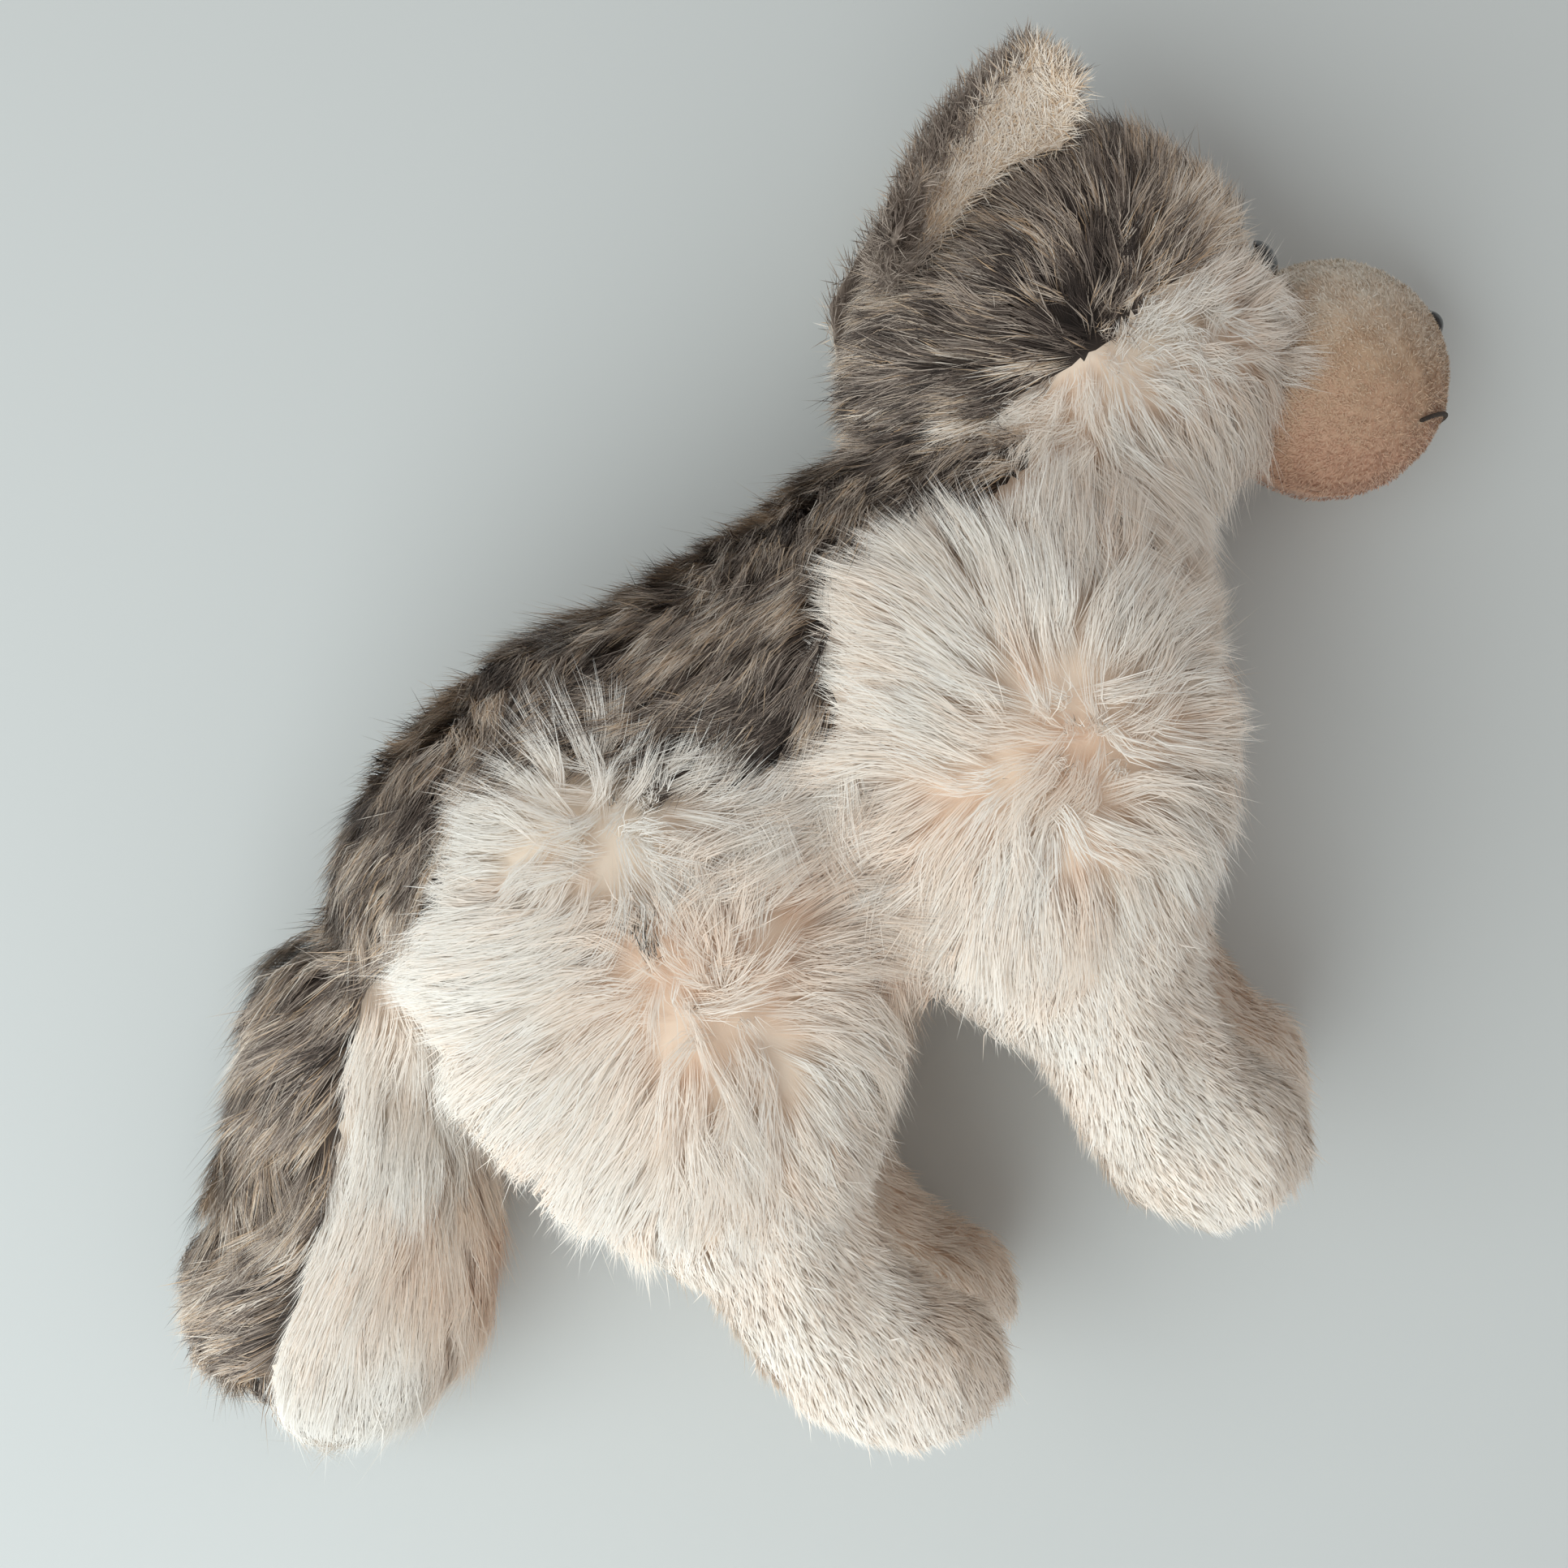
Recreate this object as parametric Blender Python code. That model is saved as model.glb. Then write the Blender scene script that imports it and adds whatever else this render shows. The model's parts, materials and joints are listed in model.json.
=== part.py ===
"""Plush wolf, lying on its left side: sewn fur covers over stuffing, with plastic eyes and nose.

Metres. +X runs to the nose, +Y to the back and +Z up, which is the wolf's right side.
Each cover is as thick as its cloth and pile together, so its outside is the outline of the fur.
"""
import math

import bmesh
import bpy
from mathutils import Matrix, Vector

# Body: rump to chest, back to belly, flank to flank
BODY_LENGTH = 0.232
BODY_HEIGHT = 0.108
BODY_WIDTH = 0.090
BODY_REAR = -0.112
BODY_MIDDLE_Z = 0.060
BODY_ROUNDING = 0.045
BELLY_WIDTH = 0.044
BELLY_SEAM_DROP = 0.032

# Head: nape to brow, crown to jaw, cheek to cheek, turned towards the ground
HEAD_LENGTH = 0.121
HEAD_HEIGHT = 0.113
HEAD_WIDTH = 0.094
HEAD_CENTRE = (0.1165, 0.0545, 0.0445)
HEAD_YAW = 17.0
MUZZLE_LENGTH = 0.064
MUZZLE_HEIGHT = 0.061
MUZZLE_WIDTH = 0.050
MUZZLE_REACH = 0.0595
MUZZLE_DROP = 0.0435
GUSSET_WIDTH = 0.018

# Ears: height over the head, length along it, cupping, lean of the tip, place on the head, and splay
EAR_HEIGHT = 0.0215
EAR_LENGTH = 0.052
EAR_CUP = 0.009
EAR_LEAN = 0.015
EAR_BASE_TILT = 0.05
EAR_REAR_CURL = 0.012
EAR_ROOT_SHARE = 0.32
EAR_BACK_DIRECTION = (0.55, -0.84)
EAR_X = -0.0125
EAR_Y = 0.036
EAR_Z = 0.036
EAR_SPLAY_RIGHT = 0.016
EAR_SPLAY_LEFT = 0.0015
EAR_PUSH_LEFT = 0.012

# Eyes, nose and mouth thread
EYE_RADIUS = 0.0055
EYE_DOME = 0.0040
EYE_HEIGHT = -0.0125
EYE_SPREAD = 0.0185
NOSE_RADIUS = 0.0060
NOSE_FLATTENING = 0.68
NOSE_DOME = 0.0040
NOSE_PITCH = -4.0
STEM_RADIUS = 0.0020
WASHER_RADIUS = 0.0060
WASHER_THICKNESS = 0.0015
MOUTH_THREAD_RADIUS = 0.0007
MOUTH_WIDTH_ANGLE = 76.0
MOUTH_PITCH = -50.0
MOUTH_RISE = 1.5

# Legs: shoulder and haunch lobes, and the narrower lower legs with their paws
FRONT_LEG_LENGTH = 0.189
HIND_LEG_LENGTH = 0.194
FRONT_LOBE_LENGTH = 0.104
HIND_LOBE_LENGTH = 0.114
LOBE_THICKNESS = 0.056
LOWER_LEG_WIDTH = 0.044
LOWER_LEG_THICKNESS = 0.042
PAW_LENGTH = 0.050
LEG_TOP_Y = 0.044
FRONT_LEG_X = 0.051
HIND_LEG_X = -0.049
FRONT_ANKLE_BACK = 0.016
HIND_ANKLE_BACK = 0.009
FRONT_PAW_STEP = 0.006
HIND_PAW_STEP = 0.013
FAR_FRONT_STEP = 0.015
FAR_HIND_STEP = 0.009
RIGHT_LEG_Z = 0.089
LEFT_LEG_Z = 0.023
PAW_ROUNDING = 0.022
CUFF_SHARE = 0.635
SOLE_SHARE = 0.962

# Tail: from the rump to its tip, with its greatest widths
TAIL_LENGTH = 0.136
TAIL_WIDTH = 0.078
TAIL_THICKNESS = 0.066
TAIL_ROOT = (-0.108, 0.030, 0.052)
TAIL_ANGLE = 235.0
TAIL_TIP_DROP = 0.023
TAIL_ROOT_ROUNDING = 0.018
TAIL_TIP_ROUNDING = 0.040

# Cloth with its pile, and the room that sewn neighbours leave each other
LONG_PILE = 0.008
LEG_PILE = 0.007
VELOUR = 0.003
EAR_CLOTH = 0.0035
BACKING = 0.002
CLEARANCE = 0.0004
SEAM_GAP = 0.0006
LOCK_HEIGHT = 0.0032

REACH = 0.30
BUTTON_SIDES = 10
SHORTEST_EDGE = 0.00012
UP = Vector((0.0, 0.0, 1.0))

# Section profiles: share of the length, middle across, middle above, half size across, half thickness
BODY_PROFILE = (
    (0.00, 0.020, 0.0, 0.74, 0.84),
    (0.16, 0.012, 0.0, 0.88, 0.92),
    (0.31, 0.011, 0.0, 1.00, 0.98),
    (0.48, 0.006, 0.0, 0.98, 1.00),
    (0.66, 0.005, 0.0, 1.00, 1.02),
    (0.83, 0.006, 0.0, 0.98, 1.00),
    (1.00, 0.004, 0.0, 0.92, 0.92),
)
HEAD_PROFILE = (
    (0.00, -0.004, 0.0, 0.92, 1.00),
    (0.28, -0.004, 0.0, 0.92, 1.00),
    (0.54, 0.000, 0.0, 1.00, 1.00),
    (1.00, 0.000, 0.0, 1.00, 1.00),
)
ROUND_PROFILE = (
    (0.0, 0.0, 0.0, 1.0, 1.0),
    (1.0, 0.0, 0.0, 1.0, 1.0),
)


def clear_scene():
    for thing in list(bpy.data.objects):
        bpy.data.objects.remove(thing)


def make_material(name, colour, roughness, metallic=0.0):
    material = bpy.data.materials.new(name)
    material.use_nodes = True
    shader = material.node_tree.nodes["Principled BSDF"]
    shader.inputs["Base Color"].default_value = (*colour, 1.0)
    shader.inputs["Roughness"].default_value = roughness
    shader.inputs["Metallic"].default_value = metallic
    material.diffuse_color = (*colour, 1.0)
    return material


def blend_rows(rows, share):
    """Read a profile smoothly between its rows, as a Catmull-Rom curve."""
    index = 0
    while index < len(rows) - 2 and share > rows[index + 1][0]:
        index += 1
    low = rows[index]
    high = rows[index + 1]
    before = rows[max(index - 1, 0)]
    after = rows[min(index + 2, len(rows) - 1)]
    t = min(max((share - low[0]) / (high[0] - low[0]), 0.0), 1.0)
    values = []
    for a, b, c, d in zip(before[1:], low[1:], high[1:], after[1:]):
        slope_in = (c - a) / 2.0
        slope_out = (d - b) / 2.0
        rest = c - b
        values.append(b + slope_in * t + (3.0 * rest - 2.0 * slope_in - slope_out) * t ** 2
                      + (slope_in + slope_out - 2.0 * rest) * t ** 3)
    return values


class Form:
    """A stuffed shape: elliptic sections along a straight axis, closed by rounded ends.

    It is flattened where it would reach below the ground. The inset draws its surface inwards,
    for the inside of a cover or the stuffing, and a negative one grows it, for the room it needs.
    """

    def __init__(self, start, axis, length, profile, half_sizes, rounding, rings, sides, locks=0.0,
                 turn=None):
        self.start = Vector(start)
        self.axis = Vector(axis).normalized()
        self.across = UP.cross(self.axis)
        self.length = length
        self.profile = profile
        self.half_across, self.half_thick = half_sizes
        self.round_start, self.round_end = rounding
        self.cap_rings, self.middle_rings = rings
        self.sides = sides
        self.locks = locks
        self.turn = turn or Matrix.Identity(4)

    def place(self, along, across, above):
        """A point at a distance along the axis, across it and above it."""
        point = self.start + self.axis * along + self.across * across + UP * above
        return self.turn @ point

    def taper(self, along, inset):
        """How much of its full section the form has at a place along the axis."""
        if along < self.round_start:
            ratio = (self.round_start - along) / (self.round_start - inset)
        elif along > self.length - self.round_end:
            ratio = (along - self.length + self.round_end) / (self.round_end - inset)
        else:
            ratio = 0.0
        return math.sqrt(max(1.0 - ratio ** 2, 0.0))

    def ring_places(self, inset, coarse):
        """Distances along the axis of the rings, close together on the rounded ends."""
        cap_rings = self.cap_rings // 2 if coarse else self.cap_rings
        middle_rings = self.middle_rings // 2 if coarse else self.middle_rings
        straight = self.length - self.round_start - self.round_end
        angles = [math.pi / 2 * k / cap_rings for k in range(cap_rings + 1)]
        start = [self.round_start - (self.round_start - inset) * math.cos(a) for a in angles]
        end_cap = [self.length - self.round_end + (self.round_end - inset) * math.cos(a) for a in angles]
        middle = [self.round_start + straight * k / (middle_rings + 1) for k in range(1, middle_rings + 1)]
        end_cap.reverse()
        if straight <= 0.0:
            end_cap = end_cap[1:]
        return start + middle + end_cap

    def surface(self, along, angle, inset=0.0, lift=0.0):
        """The point of the form's skin at a place along the axis and an angle round it."""
        across, above, wide, thick = blend_rows(self.profile, along / self.length)
        taper = self.taper(along, inset)
        half_across = (wide * self.half_across - inset) * taper + lift
        half_thick = (thick * self.half_thick - inset) * taper + lift
        point = self.place(along, across + half_across * math.cos(angle), above + half_thick * math.sin(angle))
        point.z = max(point.z, inset)
        return point

    def lock(self, ring, side, along):
        """Height of the fur lock at a grid point: staggered rows that rise and drop like shingles."""
        step = (ring + 2 * (side % 2)) % 4
        return self.locks * (step / 3.0 - 0.4) * self.taper(along, 0.0)

    def skin(self, mesh, inset, coarse=False, inward=False):
        """Add the closed surface of the form to a bmesh."""
        sides = self.sides // 2 if coarse else self.sides
        places = self.ring_places(inset, coarse)
        rings = []
        for number, along in enumerate(places[1:-1]):
            ring = []
            for side in range(sides):
                lift = 0.0 if coarse else self.lock(number, side, along)
                point = self.surface(along, 2.0 * math.pi * side / sides, inset, lift)
                ring.append(mesh.verts.new(point))
            rings.append(ring)
        first = mesh.verts.new(self.surface(places[0], 0.0, inset))
        last = mesh.verts.new(self.surface(places[-1], 0.0, inset))
        faces = []
        for side in range(sides):
            following = (side + 1) % sides
            faces.append((first, rings[0][following], rings[0][side]))
            faces.append((last, rings[-1][side], rings[-1][following]))
            for low, high in zip(rings, rings[1:]):
                faces.append((low[side], low[following], high[following]))
                faces.append((low[side], high[following], high[side]))
        for face in faces:
            corners = tuple(reversed(face)) if inward else face
            mesh.faces.new(corners)


def finish_mesh(mesh, name, material=None):
    """Turn a bmesh into an object of its own."""
    data = bpy.data.meshes.new(name)
    mesh.to_mesh(data)
    mesh.free()
    piece = bpy.data.objects.new(name, data)
    if material:
        data.materials.append(material)
    bpy.context.scene.collection.objects.link(piece)
    return piece


def hide_as_tool(piece):
    piece.hide_render = True
    piece.display_type = "WIRE"
    return piece


def room_of(form, name):
    """The space that a stuffed shape needs, which its neighbours leave free."""
    mesh = bmesh.new()
    form.skin(mesh, -CLEARANCE)
    return hide_as_tool(finish_mesh(mesh, name))


def hollow_cover(form, name, thickness, material):
    mesh = bmesh.new()
    form.skin(mesh, 0.0)
    form.skin(mesh, thickness, coarse=True, inward=True)
    return finish_mesh(mesh, name, material)


def stuffing(form, name, thickness, material):
    mesh = bmesh.new()
    form.skin(mesh, thickness + CLEARANCE, coarse=True)
    return finish_mesh(mesh, name, material)


def cut(piece, operation, tool):
    modifier = piece.modifiers.new(tool.name, "BOOLEAN")
    modifier.operation = operation
    modifier.solver = "EXACT"
    modifier.object = tool


def drop_offcuts(mesh):
    """Keep only the largest body of a cut piece, as a tailor drops the scraps."""
    loose = set(mesh.verts)
    bodies = []
    while loose:
        stack = [loose.pop()]
        body = set(stack)
        while stack:
            for edge in stack.pop().link_edges:
                for vertex in edge.verts:
                    if vertex in loose:
                        loose.remove(vertex)
                        body.add(vertex)
                        stack.append(vertex)
        bodies.append(body)
    bodies.sort(key=len)
    for scrap in bodies[:-1]:
        bmesh.ops.delete(mesh, geom=list(scrap), context="VERTS")


def close_cut_edges(mesh):
    """Remove the flaps that merged slivers leave on a cut edge, and close the slits beside them."""
    for _ in range(4):
        crowded = [edge for edge in mesh.edges if len(edge.link_faces) > 2]
        flaps = {min(edge.link_faces, key=lambda face: face.calc_area()) for edge in crowded}
        bmesh.ops.delete(mesh, geom=list(flaps), context="FACES_ONLY")
        stray = [edge for edge in mesh.edges if not edge.link_faces]
        bmesh.ops.delete(mesh, geom=stray, context="EDGES")
        open_edges = [edge for edge in mesh.edges if len(edge.link_faces) == 1]
        if not open_edges:
            break
        bmesh.ops.holes_fill(mesh, edges=open_edges, sides=0)
    bmesh.ops.recalc_face_normals(mesh, faces=mesh.faces)


def settle_cuts():
    """Keep each cut piece as a plain mesh without slivers, and remove the cutting tools."""
    graph = bpy.context.evaluated_depsgraph_get()
    settled = []
    for piece in bpy.data.objects:
        if piece.type == "MESH" and not piece.hide_render:
            mesh = bmesh.new()
            mesh.from_object(piece, graph)
            settled.append((piece, mesh))
    for piece, mesh in settled:
        bmesh.ops.triangulate(mesh, faces=mesh.faces)
        bmesh.ops.remove_doubles(mesh, verts=mesh.verts, dist=SHORTEST_EDGE)
        bmesh.ops.dissolve_degenerate(mesh, edges=mesh.edges, dist=SHORTEST_EDGE)
        bmesh.ops.triangulate(mesh, faces=mesh.faces)
        drop_offcuts(mesh)
        close_cut_edges(mesh)
        bmesh.ops.triangulate(mesh, faces=mesh.faces)
        piece.modifiers.clear()
        mesh.to_mesh(piece.data)
        mesh.free()
    for piece in list(bpy.data.objects):
        if piece.hide_render:
            bpy.data.objects.remove(piece)


def cut_away(piece, *tools):
    for tool in tools:
        cut(piece, "DIFFERENCE", tool)


def prism(form, name, outline, low, high):
    """A cutting block: an outline in shares along and distances across a form, from low to high above it."""
    mesh = bmesh.new()
    layers = []
    for above in (low, high):
        layers.append([mesh.verts.new(form.place(share * form.length, across, above))
                       for share, across in outline])
    bottom, top = layers
    mesh.faces.new(bottom)
    mesh.faces.new(reversed(top))
    for corner in range(len(bottom)):
        following = (corner + 1) % len(bottom)
        mesh.faces.new((bottom[corner], top[corner], top[following], bottom[following]))
    if mesh.calc_volume(signed=True) < 0.0:
        bmesh.ops.reverse_faces(mesh, faces=mesh.faces)
    return hide_as_tool(finish_mesh(mesh, name))


def beside_line(line, direction):
    """The outline of all that lies on one side of a seam line, half a seam's gap away from it."""
    shifted = [(share, across + direction * SEAM_GAP / 2.0) for share, across in line]
    return shifted + [(line[-1][0], direction * REACH), (line[0][0], direction * REACH)]


def turned(profile, sides, flattening=1.0):
    """A bmesh of a round piece: (radius, height) points turned about +Z, its ends on the axis."""
    mesh = bmesh.new()
    bottom = mesh.verts.new((0.0, 0.0, profile[0][1]))
    top = mesh.verts.new((0.0, 0.0, profile[-1][1]))
    rings = []
    for radius, height in profile[1:-1]:
        ring = []
        for side in range(sides):
            angle = 2.0 * math.pi * side / sides
            ring.append(mesh.verts.new((radius * math.cos(angle), flattening * radius * math.sin(angle), height)))
        rings.append(ring)
    for side in range(sides):
        following = (side + 1) % sides
        mesh.faces.new((bottom, rings[0][following], rings[0][side]))
        mesh.faces.new((top, rings[-1][side], rings[-1][following]))
        for low, high in zip(rings, rings[1:]):
            mesh.faces.new((low[side], low[following], high[following], high[side]))
    return mesh


def ring_profile(radius, low, high):
    return [(0.0, low), (radius, low), (radius, high), (0.0, high)]


def button(name, radius, dome, seat, material, frame, flattening=1.0):
    """A domed plastic button on a stem, with +Z outwards and its dome's flat base at the seat."""
    stem_end = seat - BACKING - WASHER_THICKNESS - 4.0 * CLEARANCE
    profile = [(0.0, stem_end), (STEM_RADIUS, stem_end), (STEM_RADIUS, seat), (radius, seat)]
    steps = 3
    for step in range(1, steps):
        angle = math.pi / 2 * step / steps
        profile.append((radius * math.cos(angle), seat + dome * math.sin(angle)))
    profile.append((0.0, seat + dome))
    mesh = turned(profile, BUTTON_SIDES, flattening)
    mesh.transform(frame)
    return finish_mesh(mesh, name, material)


def washer(name, seat, material, frame):
    """A flat ring on the stem, just inside the cloth."""
    outside = seat - BACKING - 2.0 * CLEARANCE
    mesh = bmesh.new()
    inner_radius = STEM_RADIUS + CLEARANCE
    corners = [(inner_radius, outside - WASHER_THICKNESS), (WASHER_RADIUS, outside - WASHER_THICKNESS),
               (WASHER_RADIUS, outside), (inner_radius, outside)]
    sides = BUTTON_SIDES
    rings = []
    for side in range(sides):
        angle = 2.0 * math.pi * side / sides
        rings.append([mesh.verts.new((r * math.cos(angle), r * math.sin(angle), h)) for r, h in corners])
    for side in range(sides):
        low = rings[side]
        high = rings[(side + 1) % sides]
        for corner in range(len(corners)):
            following = (corner + 1) % len(corners)
            mesh.faces.new((low[corner], high[corner], high[following], low[following]))
    bmesh.ops.recalc_face_normals(mesh, faces=mesh.faces)
    mesh.transform(frame)
    return finish_mesh(mesh, name, material)


def button_tools(name, radius, seat, frame, flattening=1.0):
    """Cutters for the pile round a button, its stem's hole, and its washer's bed and pocket."""
    outer = turned(ring_profile(radius + CLEARANCE, seat - CLEARANCE, REACH / 4.0), BUTTON_SIDES, flattening)
    stem = turned(ring_profile(STEM_RADIUS + CLEARANCE, -REACH / 10.0, REACH / 4.0), BUTTON_SIDES)
    low = seat - BACKING - WASHER_THICKNESS - 6.0 * CLEARANCE
    bed = turned(ring_profile(WASHER_RADIUS + CLEARANCE, low, seat - BACKING - CLEARANCE), BUTTON_SIDES)
    pocket = turned(ring_profile(WASHER_RADIUS + CLEARANCE, low, REACH / 4.0), BUTTON_SIDES)
    tools = []
    for suffix, mesh in (("_pile_room", outer), ("_stem_room", stem), ("_washer_bed", bed),
                         ("_washer_pocket", pocket)):
        mesh.transform(frame)
        tools.append(hide_as_tool(finish_mesh(mesh, name + suffix)))
    return tools


def frame_along(point, normal, side):
    """A frame at a point with +Z along the normal and +X near the side direction."""
    z_axis = normal.normalized()
    y_axis = z_axis.cross(side).normalized()
    x_axis = y_axis.cross(z_axis)
    turn = Matrix((x_axis, y_axis, z_axis)).transposed().to_4x4()
    return Matrix.Translation(point) @ turn


# Forms


def body_form():
    start = (BODY_REAR, 0.0, BODY_MIDDLE_Z)
    return Form(start, (1.0, 0.0, 0.0), BODY_LENGTH, BODY_PROFILE, (BODY_HEIGHT / 2, BODY_WIDTH / 2),
                (BODY_ROUNDING, BODY_ROUNDING), (4, 9), 18, LOCK_HEIGHT)


def head_turn():
    return Matrix.Translation(HEAD_CENTRE) @ Matrix.Rotation(math.radians(HEAD_YAW), 4, "Y")


def head_form():
    half = HEAD_LENGTH / 2
    return Form((-half, 0.0, 0.0), (1.0, 0.0, 0.0), HEAD_LENGTH, HEAD_PROFILE,
                (HEAD_HEIGHT / 2, HEAD_WIDTH / 2), (half, half), (7, 0), 18, LOCK_HEIGHT, head_turn())


def muzzle_form():
    half = MUZZLE_LENGTH / 2
    start = (MUZZLE_REACH - half, -MUZZLE_DROP, 0.0)
    return Form(start, (1.0, 0.0, 0.0), MUZZLE_LENGTH, ROUND_PROFILE,
                (MUZZLE_HEIGHT / 2, MUZZLE_WIDTH / 2), (half, half), (5, 0), 16, 0.0, head_turn())


def leg_profile(lobe_length, ankle_back, paw_step):
    """Rows from the top of the lobe, through the narrower lower leg, to the paw."""
    lower = LOWER_LEG_WIDTH / lobe_length
    thin = LOWER_LEG_THICKNESS / LOBE_THICKNESS
    paw = PAW_LENGTH / lobe_length
    return (
        (0.00, 0.0, 0.0, 0.84, 0.94),
        (0.28, 0.0, 0.0, 1.00, 1.00),
        (0.50, -0.2 * ankle_back, 0.0, 0.90, 0.96),
        (0.61, -0.5 * ankle_back, 0.0, 0.66, 0.88),
        (0.69, -0.9 * ankle_back, 0.0, 1.04 * lower, thin),
        (0.79, -ankle_back, 0.0, lower, thin),
        (0.89, -ankle_back + 0.6 * paw_step, 0.0, paw, thin * 1.04),
        (1.00, -ankle_back + paw_step, 0.0, paw * 0.92, thin),
    )


def leg_form(x, z, length, lobe_length, ankle_back, paw_step):
    start = (x, LEG_TOP_Y, z)
    profile = leg_profile(lobe_length, ankle_back, paw_step)
    return Form(start, (0.0, -1.0, 0.0), length, profile, (lobe_length / 2, LOBE_THICKNESS / 2),
                (lobe_length / 2, PAW_ROUNDING), (3, 8), 12, LOCK_HEIGHT)


def front_leg_form(x, z):
    return leg_form(x, z, FRONT_LEG_LENGTH, FRONT_LOBE_LENGTH, FRONT_ANKLE_BACK, FRONT_PAW_STEP)


def hind_leg_form(x, z):
    return leg_form(x, z, HIND_LEG_LENGTH, HIND_LOBE_LENGTH, HIND_ANKLE_BACK, HIND_PAW_STEP)


def tail_profile():
    return (
        (0.00, 0.002, 0.000, 0.62, 0.70),
        (0.25, 0.004, -0.3 * TAIL_TIP_DROP, 0.76, 0.82),
        (0.50, 0.002, -0.7 * TAIL_TIP_DROP, 0.94, 0.96),
        (0.75, -0.003, -TAIL_TIP_DROP, 1.02, 1.00),
        (1.00, -0.002, -TAIL_TIP_DROP, 0.82, 0.86),
    )


def tail_form():
    angle = math.radians(TAIL_ANGLE)
    axis = (math.cos(angle), math.sin(angle), 0.0)
    return Form(TAIL_ROOT, axis, TAIL_LENGTH, tail_profile(), (TAIL_WIDTH / 2, TAIL_THICKNESS / 2),
                (TAIL_ROOT_ROUNDING, TAIL_TIP_ROUNDING), (4, 6), 14, LOCK_HEIGHT)


# Sub-parts


def make_body(forms, rooms, cloth):
    """Gray back panel, two cream flanks and a belly strip, cut where the head is sewn on."""
    form = forms["body"]
    line = ((-0.30, 0.012), (0.14, 0.016), (0.34, 0.022), (0.48, 0.006), (0.54, 0.006), (0.66, 0.020),
            (0.83, 0.034), (1.30, 0.040))
    belly_top = -BELLY_SEAM_DROP
    belly_outline = ((0.10, belly_top), (0.90, belly_top), (0.90, -REACH), (0.10, -REACH))
    half = BELLY_WIDTH / 2
    back = prism(form, "back_region", beside_line(line, 1.0), -REACH, REACH)
    right = prism(form, "flank_right_region", beside_line(line, -1.0), SEAM_GAP / 2, REACH)
    left = prism(form, "flank_left_region", beside_line(line, -1.0), -REACH, -SEAM_GAP / 2)
    belly = prism(form, "belly_region", belly_outline, -half, half)
    seam_share = SEAM_GAP / form.length
    belly_room_outline = [(share + sign * seam_share, across + SEAM_GAP)
                          for (share, across), sign in zip(belly_outline, (-1, 1, 1, -1))]
    belly_room = prism(form, "belly_room", belly_room_outline, -half - SEAM_GAP, half + SEAM_GAP)
    panels = (("back_panel", "gray_pile", back), ("flank_panel_right", "cream_pile", right),
              ("flank_panel_left", "cream_pile", left), ("belly_panel", "cream_pile", belly))
    for name, material, region in panels:
        panel = hollow_cover(form, name, LONG_PILE, cloth[material])
        cut(panel, "INTERSECT", region)
        if name.startswith("flank"):
            cut_away(panel, belly_room)
        cut_away(panel, rooms["head"], rooms["muzzle"])
    filling = stuffing(form, "body_filling", LONG_PILE, cloth["fibre"])
    cut_away(filling, rooms["head"], rooms["muzzle"])


def make_head(forms, rooms, cloth, buttons):
    """Gray crown and two cream cheeks, open where the muzzle is sewn in."""
    form = forms["head"]
    line = ((-0.30, -0.006), (0.15, -0.010), (0.45, -0.008), (0.70, -0.004), (1.30, -0.004))
    crown = prism(form, "crown_region", beside_line(line, 1.0), -REACH, REACH)
    right = prism(form, "cheek_right_region", beside_line(line, -1.0), SEAM_GAP / 2, REACH)
    left = prism(form, "cheek_left_region", beside_line(line, -1.0), -REACH, -SEAM_GAP / 2)
    panels = (("crown_panel", "gray_pile", crown), ("cheek_panel_right", "cream_pile", right),
              ("cheek_panel_left", "cream_pile", left))
    for name, material, region in panels:
        panel = hollow_cover(form, name, LONG_PILE, cloth[material])
        cut(panel, "INTERSECT", region)
        cut_away(panel, rooms["muzzle"])
        for button_name in ("eye_right", "eye_left"):
            cut_away(panel, *buttons[button_name][:3])


def make_muzzle(forms, rooms, cloth, buttons):
    """Velour sides with a narrow gusset along the top."""
    form = forms["muzzle"]
    half = GUSSET_WIDTH / 2
    top_outline = ((-0.3, 0.0), (1.3, 0.0), (1.3, REACH), (-0.3, REACH))
    top_room_outline = ((-0.3, -SEAM_GAP), (1.3, -SEAM_GAP), (1.3, REACH), (-0.3, REACH))
    side_outline = ((-0.3, -REACH), (1.3, -REACH), (1.3, REACH), (-0.3, REACH))
    top = prism(form, "muzzle_top_region", top_outline, -half, half)
    top_room = prism(form, "muzzle_top_room", top_room_outline, -half - SEAM_GAP, half + SEAM_GAP)
    right = prism(form, "muzzle_right_region", side_outline, SEAM_GAP / 2, REACH)
    left = prism(form, "muzzle_left_region", side_outline, -REACH, -SEAM_GAP / 2)
    panels = (("muzzle_top", top), ("muzzle_side_right", right), ("muzzle_side_left", left))
    for name, region in panels:
        panel = hollow_cover(form, name, VELOUR, cloth["velour"])
        cut(panel, "INTERSECT", region)
        if name != "muzzle_top":
            cut_away(panel, top_room)
        cut_away(panel, rooms["head"])
        cut_away(panel, *buttons["nose"][:3])


def make_head_filling(forms, cloth, buttons):
    """One stuffing for head and muzzle, with pockets for the washers."""
    filling = stuffing(forms["head"], "head_filling", LONG_PILE, cloth["fibre"])
    inner = bmesh.new()
    forms["muzzle"].skin(inner, VELOUR + CLEARANCE, coarse=True)
    muzzle_part = hide_as_tool(finish_mesh(inner, "muzzle_filling"))
    cut(filling, "UNION", muzzle_part)
    for tools in buttons.values():
        cut_away(filling, tools[1], tools[3])


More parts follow.
